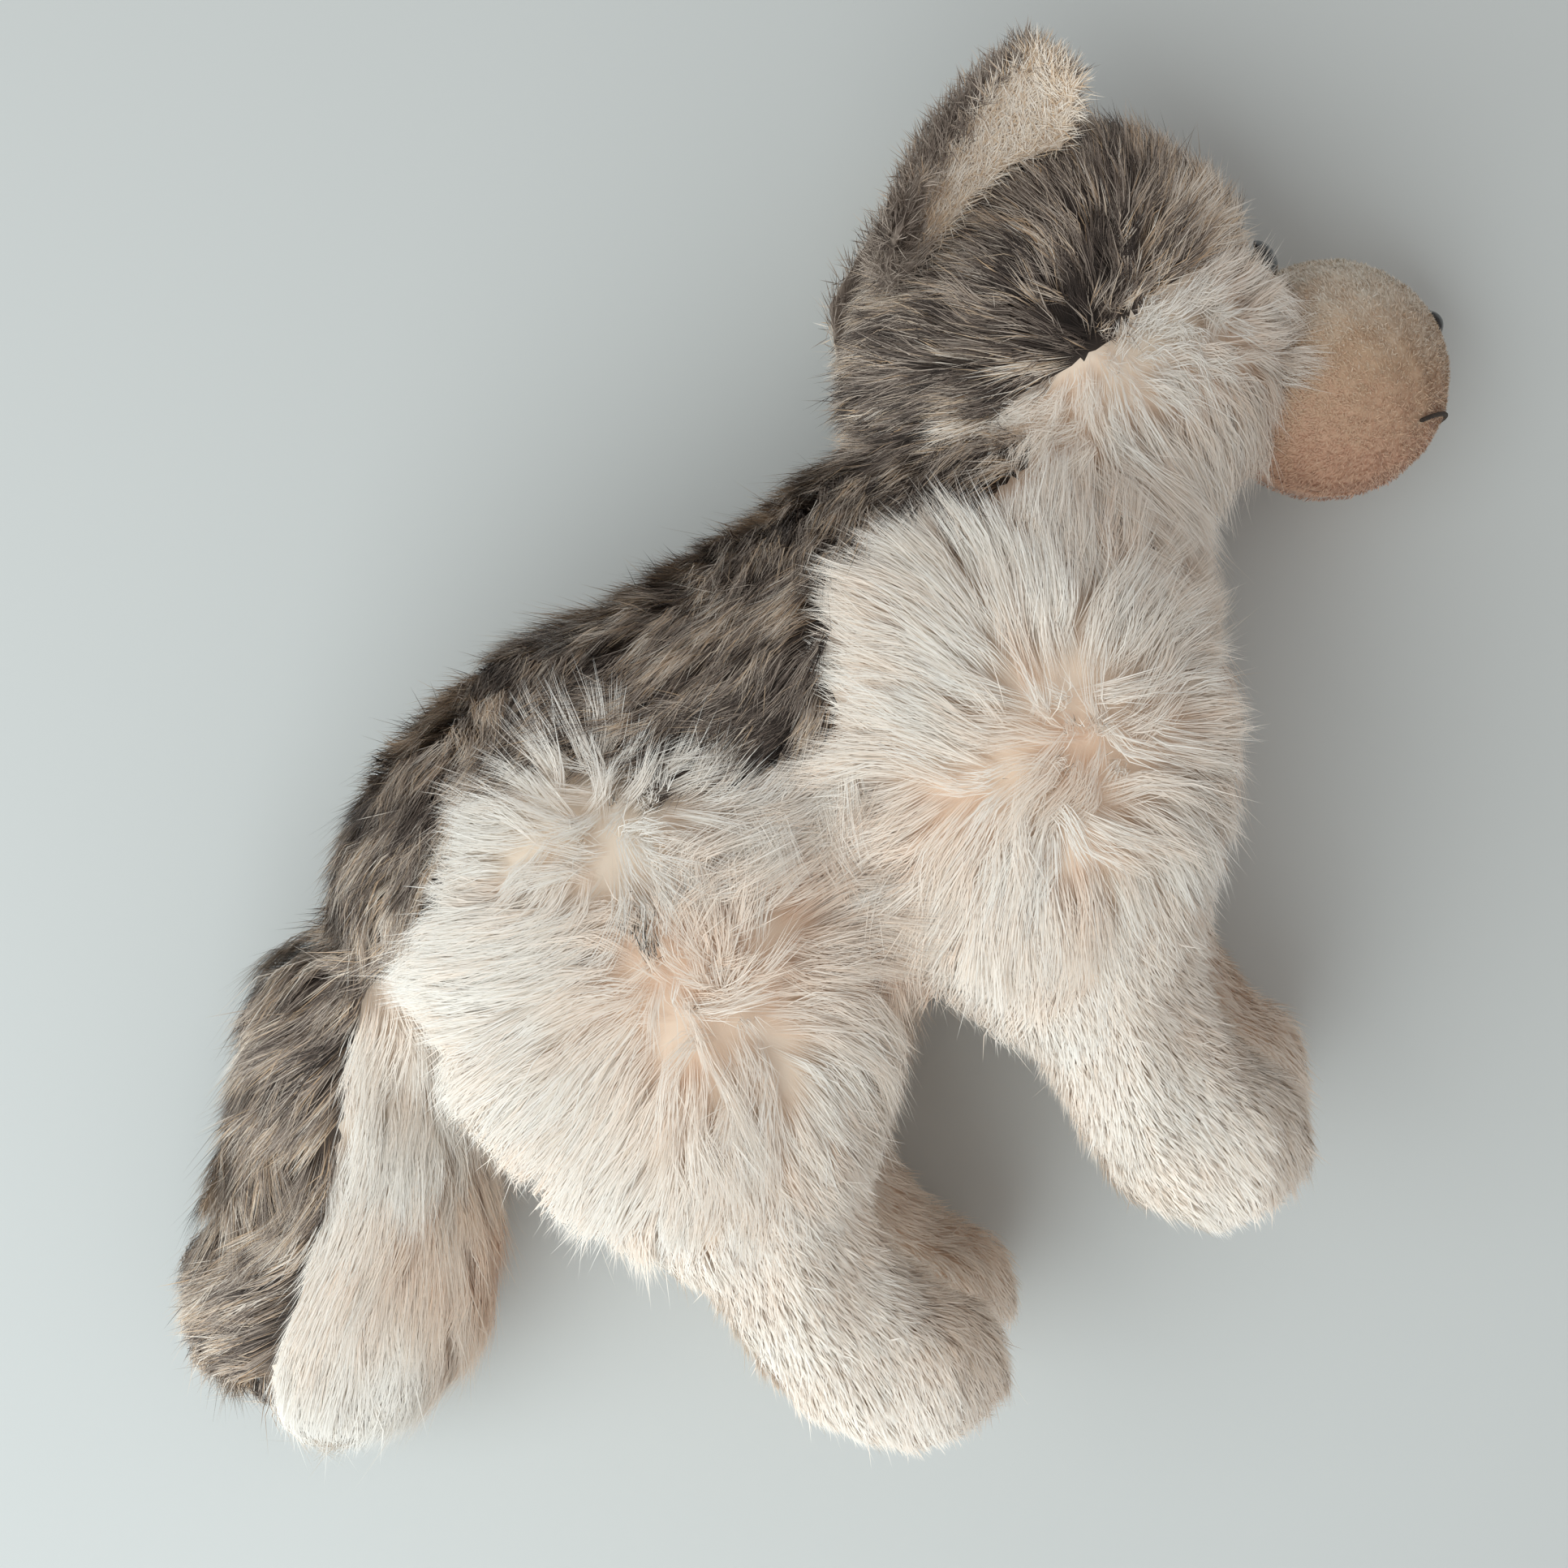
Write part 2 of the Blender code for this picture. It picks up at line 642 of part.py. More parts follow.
def make_leg(name, form, rooms, cloth, neighbours):
    """Upper cover of long pile, lower cover of short pile, sole and stuffing."""
    cuff = CUFF_SHARE
    sole = SOLE_SHARE
    gap = SEAM_GAP / 2 / form.length
    spans = (("_upper_cover", "cream_pile", -0.3, cuff - gap), ("_lower_cover", "short_pile", cuff + gap, sole - gap),
             ("_sole", "sole_cloth", sole + gap, 1.3))
    pieces = []
    for suffix, material, low, high in spans:
        outline = ((low, -REACH), (high, -REACH), (high, REACH), (low, REACH))
        region = prism(form, name + suffix + "_region", outline, -REACH, REACH)
        cover = hollow_cover(form, name + suffix, LEG_PILE, cloth[material])
        cut(cover, "INTERSECT", region)
        pieces.append(cover)
    filling = stuffing(form, name + "_filling", LEG_PILE, cloth["fibre"])
    for piece in (pieces[0], filling):
        cut_away(piece, *[rooms[neighbour] for neighbour in neighbours])


def make_tail(form, rooms, cloth):
    """Gray top and cream underside, sewn to the rump."""
    line = ((-0.3, 0.010), (0.10, 0.006), (0.30, 0.002), (0.48, 0.000), (0.60, -0.006), (0.78, -0.014),
            (0.90, -0.022), (0.96, -REACH))
    top_outline = [(share, across - SEAM_GAP / 2) for share, across in line] + [(-0.3, -REACH)]
    under_outline = [(share, across + SEAM_GAP / 2) for share, across in line[:-1]]
    under_outline += [(line[-1][0] + SEAM_GAP / form.length, -REACH), (1.3, -REACH), (1.3, REACH),
                      (-0.3, REACH)]
    panels = (("tail_top", "gray_pile", top_outline), ("tail_underside", "cream_pile", under_outline))
    neighbours = [rooms[name] for name in ("body", "right_hind", "left_hind")]
    for name, material, outline in panels:
        panel = hollow_cover(form, name, LONG_PILE, cloth[material])
        cut(panel, "INTERSECT", prism(form, name + "_region", outline, -REACH, REACH))
        cut_away(panel, *neighbours)
    cut_away(stuffing(form, "tail_filling", LONG_PILE, cloth["fibre"]), *neighbours)


def ear_point(t, s, side, splay, push, depth):
    """A point of an ear sheet: t from its rear edge to its front edge, s from the head to the rim.

    The rim climbs from the rear edge to a tip that leans forward, and falls steeply to the front edge.
    The sheet is cupped, its rear curls in towards the head, push shifts the rim forward, and depth
    moves the sheet towards its back.
    """
    chord = (t - 0.5) * EAR_LENGTH
    climb = 1.0 - max(1.0 - t / 0.72, 0.0) ** 2
    fall = 0.88 * max((t - 0.8) / 0.2, 0.0) ** 2
    arc = (0.12 + 0.88 * climb) * math.sqrt(1.0 - fall)
    rise = s * arc if s > 0.0 else s
    lean = EAR_LEAN * s * t * math.cos(0.4 * math.pi * t ** 4)
    cup = EAR_CUP * math.cos(math.pi * (t - 0.5)) * (0.4 + 0.6 * s)
    x = EAR_X + chord + lean + push * rise
    y = EAR_Y + EAR_BASE_TILT * chord + EAR_HEIGHT * rise + depth * EAR_BACK_DIRECTION[0]
    z = EAR_Z - EAR_REAR_CURL * (1.0 - t) ** 2 + splay * s - cup + depth * EAR_BACK_DIRECTION[1]
    return head_turn() @ Vector((x, y, side * z))


def ear_sheet(name, side, splay, push, outer, inner, material, head_room):
    """A closed sheet between two depths, from its root inside the head to its rim, cut at the head."""
    columns = 6
    rows = 4
    mesh = bmesh.new()
    layers = []
    for depth in (outer, inner):
        layer = []
        for column in range(columns + 1):
            strip = []
            for row in range(rows + 1):
                s = -EAR_ROOT_SHARE + (1.0 + EAR_ROOT_SHARE) * row / rows
                point = ear_point(column / columns, s, side, splay, push, depth)
                point.z = max(point.z, 0.0)
                strip.append(mesh.verts.new(point))
            layer.append(strip)
        layers.append(layer)
    front, back = layers
    for column in range(columns):
        for row in range(rows):
            for layer in layers:
                corners = (layer[column][row], layer[column + 1][row], layer[column + 1][row + 1],
                           layer[column][row + 1])
                mesh.faces.new(corners)
    for column in range(columns):
        for row in (0, rows):
            mesh.faces.new((front[column][row], front[column + 1][row], back[column + 1][row], back[column][row]))
    for row in range(rows):
        for column in (0, columns):
            mesh.faces.new((front[column][row], front[column][row + 1], back[column][row + 1], back[column][row]))
    bmesh.ops.recalc_face_normals(mesh, faces=mesh.faces)
    sheet = finish_mesh(mesh, name, material)
    cut_away(sheet, head_room)


def make_ears(rooms, cloth):
    """Two cupped ears; the left one lies under the head, which pushes its rim forward."""
    poses = (("right", 1.0, EAR_SPLAY_RIGHT, 0.0), ("left", -1.0, EAR_SPLAY_LEFT, EAR_PUSH_LEFT))
    for side_name, side, splay, push in poses:
        ear_sheet("ear_lining_" + side_name, side, splay, push, 0.0, EAR_CLOTH, cloth["velour"], rooms["head"])
        ear_sheet("ear_back_" + side_name, side, splay, push, EAR_CLOTH + CLEARANCE,
                  2.0 * EAR_CLOTH + CLEARANCE, cloth["gray_pile"], rooms["head"])


def ellipsoid_frame(centre, half_sizes, direction, turn):
    """A frame on an ellipsoid's skin, where a direction from its middle leaves it, with +Z outwards."""
    scale = 1.0 / math.sqrt(sum((d / h) ** 2 for d, h in zip(direction, half_sizes)))
    offset = Vector(direction) * scale
    normal = Vector([o / h ** 2 for o, h in zip(offset, half_sizes)])
    local = frame_along(Vector(centre) + offset, normal, Vector((0.0, 0.0, 1.0)))
    return turn @ local


def eye_frame(side):
    halves = (HEAD_LENGTH / 2, HEAD_HEIGHT / 2, HEAD_WIDTH / 2)
    forward = halves[0] * math.sqrt(1.0 - (EYE_HEIGHT / halves[1]) ** 2 - (EYE_SPREAD / halves[2]) ** 2)
    return ellipsoid_frame((0.0, 0.0, 0.0), halves, (forward, EYE_HEIGHT, side * EYE_SPREAD), head_turn())


def muzzle_frame(pitch, yaw):
    halves = (MUZZLE_LENGTH / 2, MUZZLE_HEIGHT / 2, MUZZLE_WIDTH / 2)
    centre = (MUZZLE_REACH, -MUZZLE_DROP, 0.0)
    up_angle = math.radians(pitch)
    side_angle = math.radians(yaw)
    direction = (math.cos(up_angle) * math.cos(side_angle), math.sin(up_angle),
                 math.cos(up_angle) * math.sin(side_angle))
    return ellipsoid_frame(centre, halves, direction, head_turn())


def button_places():
    """Where the eyes and the nose sit: frame, radius, dome, seat under the pile and flattening."""
    eye_seat = -(LONG_PILE - BACKING - CLEARANCE)
    nose_seat = -(VELOUR - BACKING - CLEARANCE)
    return {
        "eye_right": (eye_frame(1.0), EYE_RADIUS, EYE_DOME, eye_seat, 1.0),
        "eye_left": (eye_frame(-1.0), EYE_RADIUS, EYE_DOME, eye_seat, 1.0),
        "nose": (muzzle_frame(NOSE_PITCH, 0.0), NOSE_RADIUS, NOSE_DOME, nose_seat, NOSE_FLATTENING),
    }


def make_buttons(cloth):
    tools = {}
    for name, (frame, radius, dome, seat, flattening) in button_places().items():
        button(name, radius, dome, seat, cloth["gloss_black"], frame, flattening)
        stem, _, side = name.partition("_")
        washer_name = stem + "_washer" + ("_" + side if side else "")
        washer(washer_name, seat, cloth["washer_plastic"], frame)
        tools[name] = button_tools(name, radius, seat, frame, flattening)
    return tools


def thread_tube(mesh, frames, radius, sides=6):
    """Add a closed tube along a row of frames, lifted clear of the surface they lie on."""
    points = [frame @ Vector((0.0, 0.0, radius + CLEARANCE)) for frame in frames]
    normals = [frame.to_3x3() @ UP for frame in frames]
    rings = []
    for index, point in enumerate(points):
        before = points[max(index - 1, 0)]
        after = points[min(index + 1, len(points) - 1)]
        along = (after - before).normalized()
        sideways = along.cross(normals[index]).normalized()
        outwards = sideways.cross(along)
        ring = []
        for side in range(sides):
            angle = 2.0 * math.pi * side / sides
            offset = (sideways * math.cos(angle) + outwards * math.sin(angle)) * radius
            ring.append(mesh.verts.new(point + offset))
        rings.append(ring)
    for low, high in zip(rings, rings[1:]):
        for side in range(sides):
            following = (side + 1) % sides
            mesh.faces.new((low[side], low[following], high[following], high[side]))
    mesh.faces.new(reversed(rings[0]))
    mesh.faces.new(rings[-1])


def make_mouth(cloth):
    """A stitched smile round the lower front of the muzzle."""
    steps = 16
    frames = []
    for step in range(steps + 1):
        yaw = MOUTH_WIDTH_ANGLE * (2.0 * step / steps - 1.0)
        rise = MOUTH_RISE * (yaw / MOUTH_WIDTH_ANGLE) ** 2
        frames.append(muzzle_frame(MOUTH_PITCH + rise, yaw))
    mesh = bmesh.new()
    thread_tube(mesh, frames, MOUTH_THREAD_RADIUS)
    bmesh.ops.recalc_face_normals(mesh, faces=mesh.faces)
    finish_mesh(mesh, "mouth_stitching", cloth["dark_thread"])


def make_materials():
    """Colours from the photograph, in linear values."""
    return {
        "gray_pile": make_material("gray_pile", (0.16, 0.135, 0.115), 0.95),
        "cream_pile": make_material("cream_pile", (0.80, 0.68, 0.56), 0.95),
        "short_pile": make_material("short_pile", (0.78, 0.65, 0.54), 0.95),
        "sole_cloth": make_material("sole_cloth", (0.82, 0.66, 0.57), 0.90),
        "velour": make_material("velour", (0.74, 0.58, 0.44), 0.90),
        "fibre": make_material("fibre", (0.85, 0.85, 0.83), 0.95),
        "gloss_black": make_material("gloss_black", (0.012, 0.011, 0.011), 0.12),
        "washer_plastic": make_material("washer_plastic", (0.80, 0.80, 0.78), 0.45),
        "dark_thread": make_material("dark_thread", (0.05, 0.032, 0.022), 0.80),
    }


def centre_on_ground():
    """Hang all on one empty, so that the origin is the middle of the box, on the ground."""
    anchor = bpy.data.objects.new("wolf", None)
    bpy.context.scene.collection.objects.link(anchor)
    corners = []
    for piece in bpy.data.objects:
        if piece.type == "MESH":
            corners += [vertex.co for vertex in piece.data.vertices]
    middle_x = (max(c.x for c in corners) + min(c.x for c in corners)) / 2
    middle_y = (max(c.y for c in corners) + min(c.y for c in corners)) / 2
    anchor.location = (-middle_x, -middle_y, 0.0)
    for piece in bpy.data.objects:
        if piece.type == "MESH":
            piece.parent = anchor


def build_wolf():
    clear_scene()
    cloth = make_materials()
    forms = {
        "body": body_form(),
        "head": head_form(),
        "muzzle": muzzle_form(),
        "right_front": front_leg_form(FRONT_LEG_X, RIGHT_LEG_Z),
        "left_front": front_leg_form(FRONT_LEG_X + FAR_FRONT_STEP, LEFT_LEG_Z),
        "right_hind": hind_leg_form(HIND_LEG_X, RIGHT_LEG_Z),
        "left_hind": hind_leg_form(HIND_LEG_X + FAR_HIND_STEP, LEFT_LEG_Z),
        "tail": tail_form(),
    }
    rooms = {name: room_of(form, name + "_room") for name, form in forms.items()}
    buttons = make_buttons(cloth)
    make_body(forms, rooms, cloth)
    make_head(forms, rooms, cloth, buttons)
    make_muzzle(forms, rooms, cloth, buttons)
    make_head_filling(forms, cloth, buttons)
    make_ears(rooms, cloth)
    make_mouth(cloth)
    for side, other in (("right", "left"), ("left", "right")):
        for end, far_end in (("front", "hind"), ("hind", "front")):
            neighbours = ["body", "head", "muzzle"]
            if side == "right":
                neighbours.append(other + "_" + end)
            if end == "hind":
                neighbours.append(side + "_" + far_end)
            make_leg(side + "_" + end + "_leg", forms[side + "_" + end], rooms, cloth, neighbours)
    make_tail(forms["tail"], rooms, cloth)
    settle_cuts()
    centre_on_ground()


build_wolf()
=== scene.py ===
"""Looks of the plush wolf: fur, velour, eyes, nose, stitching, floor, light and camera.

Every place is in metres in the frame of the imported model: +X to the nose, +Y to the back, +Z up, which is
the wolf's right side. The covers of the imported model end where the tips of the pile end, so the cloth that
carries the pile lies a few millimetres inside them, and strands of pile fill the room between.
"""
import json
import math

import bpy
import numpy as np
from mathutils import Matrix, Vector
from mathutils.bvhtree import BVHTree
from mathutils.kdtree import KDTree


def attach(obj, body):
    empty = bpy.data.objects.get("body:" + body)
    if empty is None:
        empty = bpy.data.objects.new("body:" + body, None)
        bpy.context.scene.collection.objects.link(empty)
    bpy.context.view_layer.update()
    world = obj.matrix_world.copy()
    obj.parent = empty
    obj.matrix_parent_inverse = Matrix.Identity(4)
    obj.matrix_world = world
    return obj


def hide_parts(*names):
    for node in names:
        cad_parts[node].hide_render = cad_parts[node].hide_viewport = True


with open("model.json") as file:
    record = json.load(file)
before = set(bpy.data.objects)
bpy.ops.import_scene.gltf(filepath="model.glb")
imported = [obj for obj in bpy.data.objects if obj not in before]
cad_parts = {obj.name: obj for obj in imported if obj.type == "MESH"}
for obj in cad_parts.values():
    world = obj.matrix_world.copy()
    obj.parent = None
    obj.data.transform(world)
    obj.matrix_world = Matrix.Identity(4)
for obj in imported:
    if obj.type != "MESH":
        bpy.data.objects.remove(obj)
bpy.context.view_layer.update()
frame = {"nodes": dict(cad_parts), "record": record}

# Photograph: the camera looks straight down on the wolf, turned about the line of sight.
CAMERA_PLACE = (-0.00218, 0.01666, 0.705)
CAMERA_TURN = math.radians(33.0)
VIEW_SLOPE = 0.29723
SENSOR_WIDTH = 36.0
PHOTO_PIXELS = 1932

# Cloth: the grain of its surfaces, how often they are smoothed and how deep bare cloth lies.
GROUND_GAP = 0.0003
SKIN_VOXEL = 0.0032
SHELL_VOXEL = 0.0011
SKIN_SMOOTHING = 6
MUZZLE_SMOOTHING = 5
EAR_SMOOTHING = 4
BARE_CLOTH_DEPTH = 0.001

# Strands: places of their corners from root to tip, the share of a real pile's strands that is built, each
# somewhat wider, and the shares of those that stay where the cloth faces the floor and where it lies on it.
LEVELS = (0.0, 0.5, 1.0)
STRAND_SHARE = 0.86
UNDERSIDE_SHARE = 0.35
LYING_SHARE = 0.15
LYING_HEIGHT = 0.006

# Long pile, and what is left of its length where it runs on over a seam.
LONG_PILE = 0.012
SHARE_OVER_SHORT_PILE = 0.60
SHARE_OVER_GRAY_PILE = 0.48
SHARE_NEAR_GRAY_PILE = 0.30
RISE_OVER_CREAM_PILE = 0.45
RISE_OVER_GRAY_PILE = 1.3
WHORL_REACH = 0.013
WHORL_TURN = 3.0
TUFT_REACH = 0.030
SWAY_LENGTH = 0.055

# Uneven growth: spreads of length, width and rise from strand to strand, and how bundles follow their lock.
LENGTH_SPREAD = (0.75, 1.2)
MIDDLE_RISE_SPREAD = (0.6, 0.95)
TIP_RISE_SPREAD = (0.75, 1.25)
STANDING_HEIGHT = 0.004
MIDDLE_STAND_SHARE = 0.4
ONWARD_SHARE = 0.6
BUNDLES_PER_LOCK = 9.0
BUNDLE_STRAY_SHARE = 0.25
LEAN_SHARE = 0.4
LOCK_PULL = (0.0, 0.30, 0.60)
REACH_SPREAD = (0.72, 1.08)
WIDTH_SPREAD = (0.7, 1.3)
WILD_SHARE = 0.07
WILD_FRIZZ = 2.2
TWIST_ANGLE = 0.35
TILT_SPREAD = 0.08
BLADE_NORMAL_SHARE = 0.4

# Nap of muzzle and ears: length, width, lift off the cloth, and strands per square metre where the piece is
# seen from above and where it is hidden. Cloth under nap has its own place from root to tip in the palette.
MUZZLE_NAP_LENGTH = 0.0019
MUZZLE_NAP_WIDTH = 0.00026
MUZZLE_NAP_LIFT = 0.6
MUZZLE_DENSITY = 4.5e6
HIDDEN_MUZZLE_DENSITY = 1.5e6
MUZZLE_CLOTH_PLACE = 0.55
EAR_LINING_LENGTH = 0.0075
EAR_BACK_LENGTH = 0.0085
EAR_NAP_WIDTH = 0.00022
EAR_NAP_LIFT = 0.22
EAR_DENSITY = 4.0e6
HIDDEN_EAR_DENSITY = 1.2e6
EAR_CLOTH_PLACE = 0.3

BUTTON_SCALE = 1.15
EYE_LIFT = 0.0030
NOSE_LIFT = 0.0020
NOSE_CLEARING = 0.0065

# Light: a cool window at the photograph's lower left and a warmer room.
WINDOW_SIZE = (1.9, 1.6)
WINDOW_WAY = (-0.72, -0.62)
WINDOW_HEIGHT = 0.85
WINDOW_POWER = 19.5
WINDOW_COLOUR = (0.90, 0.985, 1.0)
ROOM_COLOUR = (1.0, 0.985, 0.965, 1.0)
ROOM_STRENGTH = 0.42
FLOOR_HALF_SIDE = 1.5


def heading(right, up):
    """Direction in the frame of a direction in the photograph, lying level."""
    cosine = math.cos(CAMERA_TURN)
    sine = math.sin(CAMERA_TURN)
    return np.array((right * cosine + up * sine, up * cosine - right * sine, 0.0))


def seen(column, row, height):
    """Place in the frame of a photograph pixel, at a height above the floor."""
    reach = (CAMERA_PLACE[2] - height) * VIEW_SLOPE / (PHOTO_PIXELS / 2)
    level = heading((column - PHOTO_PIXELS / 2) * reach, (PHOTO_PIXELS / 2 - row) * reach)
    return np.array((CAMERA_PLACE[0], CAMERA_PLACE[1], height)) + level


def node_middle(name):
    """Middle of a CAD node's corners."""
    return np.mean([vertex.co for vertex in frame["nodes"][name].data.vertices], axis=0)


def photo_pixels(points):
    """Columns and rows of the photograph at which points are seen."""
    offset = points - np.asarray(CAMERA_PLACE)
    scale = PHOTO_PIXELS / 2 / VIEW_SLOPE / -offset[:, 2]
    columns = PHOTO_PIXELS / 2 + offset @ heading(1.0, 0.0) * scale
    rows = PHOTO_PIXELS / 2 - offset @ heading(0.0, 1.0) * scale
    return columns, rows


# Places on the fur where the pile parts or stands in tufts, and marks in its colours.
SHOULDER_WHORL = seen(1330, 925, 0.113)
HAUNCH_WHORL = seen(875, 1215, 0.113)
HEAD_WHORL = seen(1405, 395, 0.090)
HAUNCH_TUFT = seen(745, 1000, 0.104)
EYE_TUFT = seen(1525, 412, 0.080)
BROW_TUFT = seen(1430, 415, 0.088)
CHEEK_LOCKS = seen(1480, 540, 0.080)
TAIL_TIP = seen(330, 1760, 0.030)
TAIL_BASE = seen(430, 1180, 0.050)
NOSE_PLACE = seen(1760, 395, 0.045)
EAR_BASE = seen(1183, 285, 0.085)
EYE_PLACES = tuple(node_middle(name) for name in ("eye_right", "eye_left"))

SPINE_WAY = heading(-0.76, -0.65)
TAIL_WAY = heading(-0.70, -0.72)

# Places round which the pile is cut short: place, reach and how much of the length is cut.
SHORT_PLACES = (
    (EYE_PLACES[0], 0.011, 0.88), (EYE_PLACES[1], 0.011, 0.88), (EAR_BASE, 0.014, 0.65),
    (BROW_TUFT, 0.018, 0.60),
)

# Marks in the tone of gray pile: place, reach, strength and the tone they bring in.
GRAY_MARKS = (
    (seen(330, 1400, 0.050), 0.036, 0.7, 0.54), (seen(1490, 288, 0.070), 0.0135, 1.0, 0.97),
    (seen(1455, 225, 0.065), 0.009, 0.8, 0.82), (seen(600, 992, 0.095), 0.011, 0.9, 0.84),
    (EAR_BASE, 0.0100, 1.0, 0.98), (seen(1550, 275, 0.050), 0.010, 0.9, 0.30),
    (seen(455, 1235, 0.060), 0.008, 0.7, 0.82), (seen(385, 1660, 0.045), 0.009, 0.9, 0.80),
    (seen(300, 1700, 0.040), 0.012, 0.8, 0.72), (seen(500, 1100, 0.080), 0.010, 0.5, 0.82),
    (seen(260, 1600, 0.040), 0.014, 0.7, 0.70), (seen(310, 1400, 0.045), 0.016, 0.5, 0.62),
    (seen(1255, 205, 0.080), 0.007, 0.6, 0.80), (seen(1225, 505, 0.080), 0.008, 0.5, 0.80),
)

# Places where gray pile is darker: place, reach and by how much.
DARK_MARKS = (
    (seen(430, 1300, 0.060), 0.013, 0.24), (seen(440, 1400, 0.060), 0.013, 0.28),
    (seen(425, 1490, 0.055), 0.013, 0.26), (seen(395, 1590, 0.050), 0.012, 0.20),
    (seen(1350, 380, 0.090), 0.014, 0.20), (seen(1310, 430, 0.090), 0.012, 0.14),
    (seen(1180, 540, 0.090), 0.012, 0.18), (seen(980, 880, 0.080), 0.022, 0.10),
    (seen(640, 960, 0.095), 0.014, 0.12), (seen(1555, 300, 0.050), 0.012, 0.25),
    (seen(1230, 330, 0.085), 0.008, 0.16), (seen(870, 960, 0.095), 0.014, 0.16),
)

# Places where cream pile is paler, and where the value is negative, peach as painted shade: place, reach and
# by how much.
PALE_AND_SHADE_MARKS = (
    (HAUNCH_TUFT + heading(0.0, 0.016), 0.026, 0.22), (seen(430, 1740, 0.050), 0.034, 0.34),
    (seen(1450, 380, 0.085), 0.012, 0.30), (seen(1570, 400, 0.075), 0.012, 0.28),
    (seen(450, 1720, 0.040), 0.020, 0.30), (seen(1050, 1080, 0.080), 0.022, -0.60),
    (seen(1150, 1180, 0.070), 0.018, -0.30), (seen(1330, 930, 0.110), 0.009, -0.20),
    (seen(620, 1120, 0.100), 0.022, 0.16), (seen(530, 1380, 0.060), 0.024, 0.20),
    (seen(860, 1170, 0.105), 0.014, -0.30), (seen(1190, 620, 0.080), 0.012, -0.25),
    (seen(620, 1500, 0.030), 0.024, -0.42), (seen(500, 1500, 0.060), 0.012, -0.15),
    (seen(1560, 640, 0.050), 0.016, -0.20), (seen(1130, 1000, 0.090), 0.016, -0.15),
)

# Outer edge of the right ear's lining, in photograph pixels from its tip down.
EAR_RIM = (
    (1262, 60), (1258, 77), (1220, 110), (1193, 153), (1177, 187), (1153, 217), (1143, 257), (1150, 300),
    (1172, 330),
)
EAR_RIM_BLUR = 8.0
EAR_RIM_WAVE = 10.0
LYING_EAR_HEIGHT = 0.050
LEG_WAY = np.array((0.0, -1.0, 0.0))

LEG_NAMES = ("right_front_leg", "left_front_leg", "right_hind_leg", "left_hind_leg")
BODY_COVERS = ("back_panel", "flank_panel_right", "flank_panel_left", "belly_panel")
HEAD_COVERS = ("crown_panel", "cheek_panel_right", "cheek_panel_left")
MUZZLE_COVERS = ("muzzle_top", "muzzle_side_right", "muzzle_side_left")
TAIL_COVERS = ("tail_top", "tail_underside")
EAR_BACKS = ("ear_back_right", "ear_back_left")
EAR_LININGS = ("ear_lining_right", "ear_lining_left")
LEG_COVERS = tuple(leg + part for leg in LEG_NAMES for part in ("_upper_cover", "_lower_cover", "_sole"))
FUR_COVERS = BODY_COVERS + HEAD_COVERS + LEG_COVERS + TAIL_COVERS
FILLINGS = ("body_filling", "head_filling", "tail_filling") + tuple(leg + "_filling" for leg in LEG_NAMES)


# Arrays of points, directions and triangles

def unit(vectors):
    """Vectors made one long."""
    return vectors / np.maximum(np.linalg.norm(vectors, axis=-1, keepdims=True), 1e-9)


def along_surface(vectors, normals):
    """Vectors laid flat on the surface that has these normals, and made one long."""
    rise = np.sum(vectors * normals, axis=1, keepdims=True)
    return unit(vectors - normals * rise)


def fade(points, centre, reach):
    """1 at the centre, falling smoothly to nothing beyond the reach."""
    distance = np.linalg.norm(points - np.asarray(centre), axis=1)
    return np.exp(-(distance / reach) ** 2)


def smooth_step(values, low, high):
    """0 below low, 1 above high, with a smooth rise between."""
    share = np.clip((values - low) / (high - low), 0.0, 1.0)
    return share * share * (3.0 - 2.0 * share)


def mesh_arrays(mesh):
    """Points, triangles and point normals of a mesh."""
    mesh.calc_loop_triangles()
    points = np.empty(len(mesh.vertices) * 3)
    mesh.vertices.foreach_get("co", points)
    triangles = np.empty(len(mesh.loop_triangles) * 3, np.int32)
    mesh.loop_triangles.foreach_get("vertices", triangles)
    normals = np.empty(len(mesh.vertices) * 3)
    mesh.vertex_normals.foreach_get("vector", normals)
    return points.reshape(-1, 3), triangles.reshape(-1, 3), normals.reshape(-1, 3)


def joined_nodes(names):
    """Points and triangles of several CAD nodes, and for each triangle the place of its node in names."""
    points = []
    triangles = []
    owners = []
    start = 0
    for index, name in enumerate(names):
        node_points, node_triangles, _ = mesh_arrays(frame["nodes"][name].data)
        points.append(node_points)
        triangles.append(node_triangles + start)
        owners.append(np.full(len(node_triangles), index))
        start += len(node_points)
    return np.concatenate(points), np.concatenate(triangles), np.concatenate(owners)


def new_mesh(name, points, faces):
    """Mesh of points and triangles."""
    mesh = bpy.data.meshes.new(name)
    mesh.vertices.add(len(points))
    mesh.vertices.foreach_set("co", np.ascontiguousarray(points, np.float32).ravel())
    mesh.loops.add(len(faces) * 3)
    mesh.loops.foreach_set("vertex_index", np.ascontiguousarray(faces, np.int32).ravel())
    mesh.polygons.add(len(faces))
    mesh.polygons.foreach_set("loop_start", np.arange(len(faces), dtype=np.int32) * 3)
    mesh.update(calc_edges=True)
    return mesh


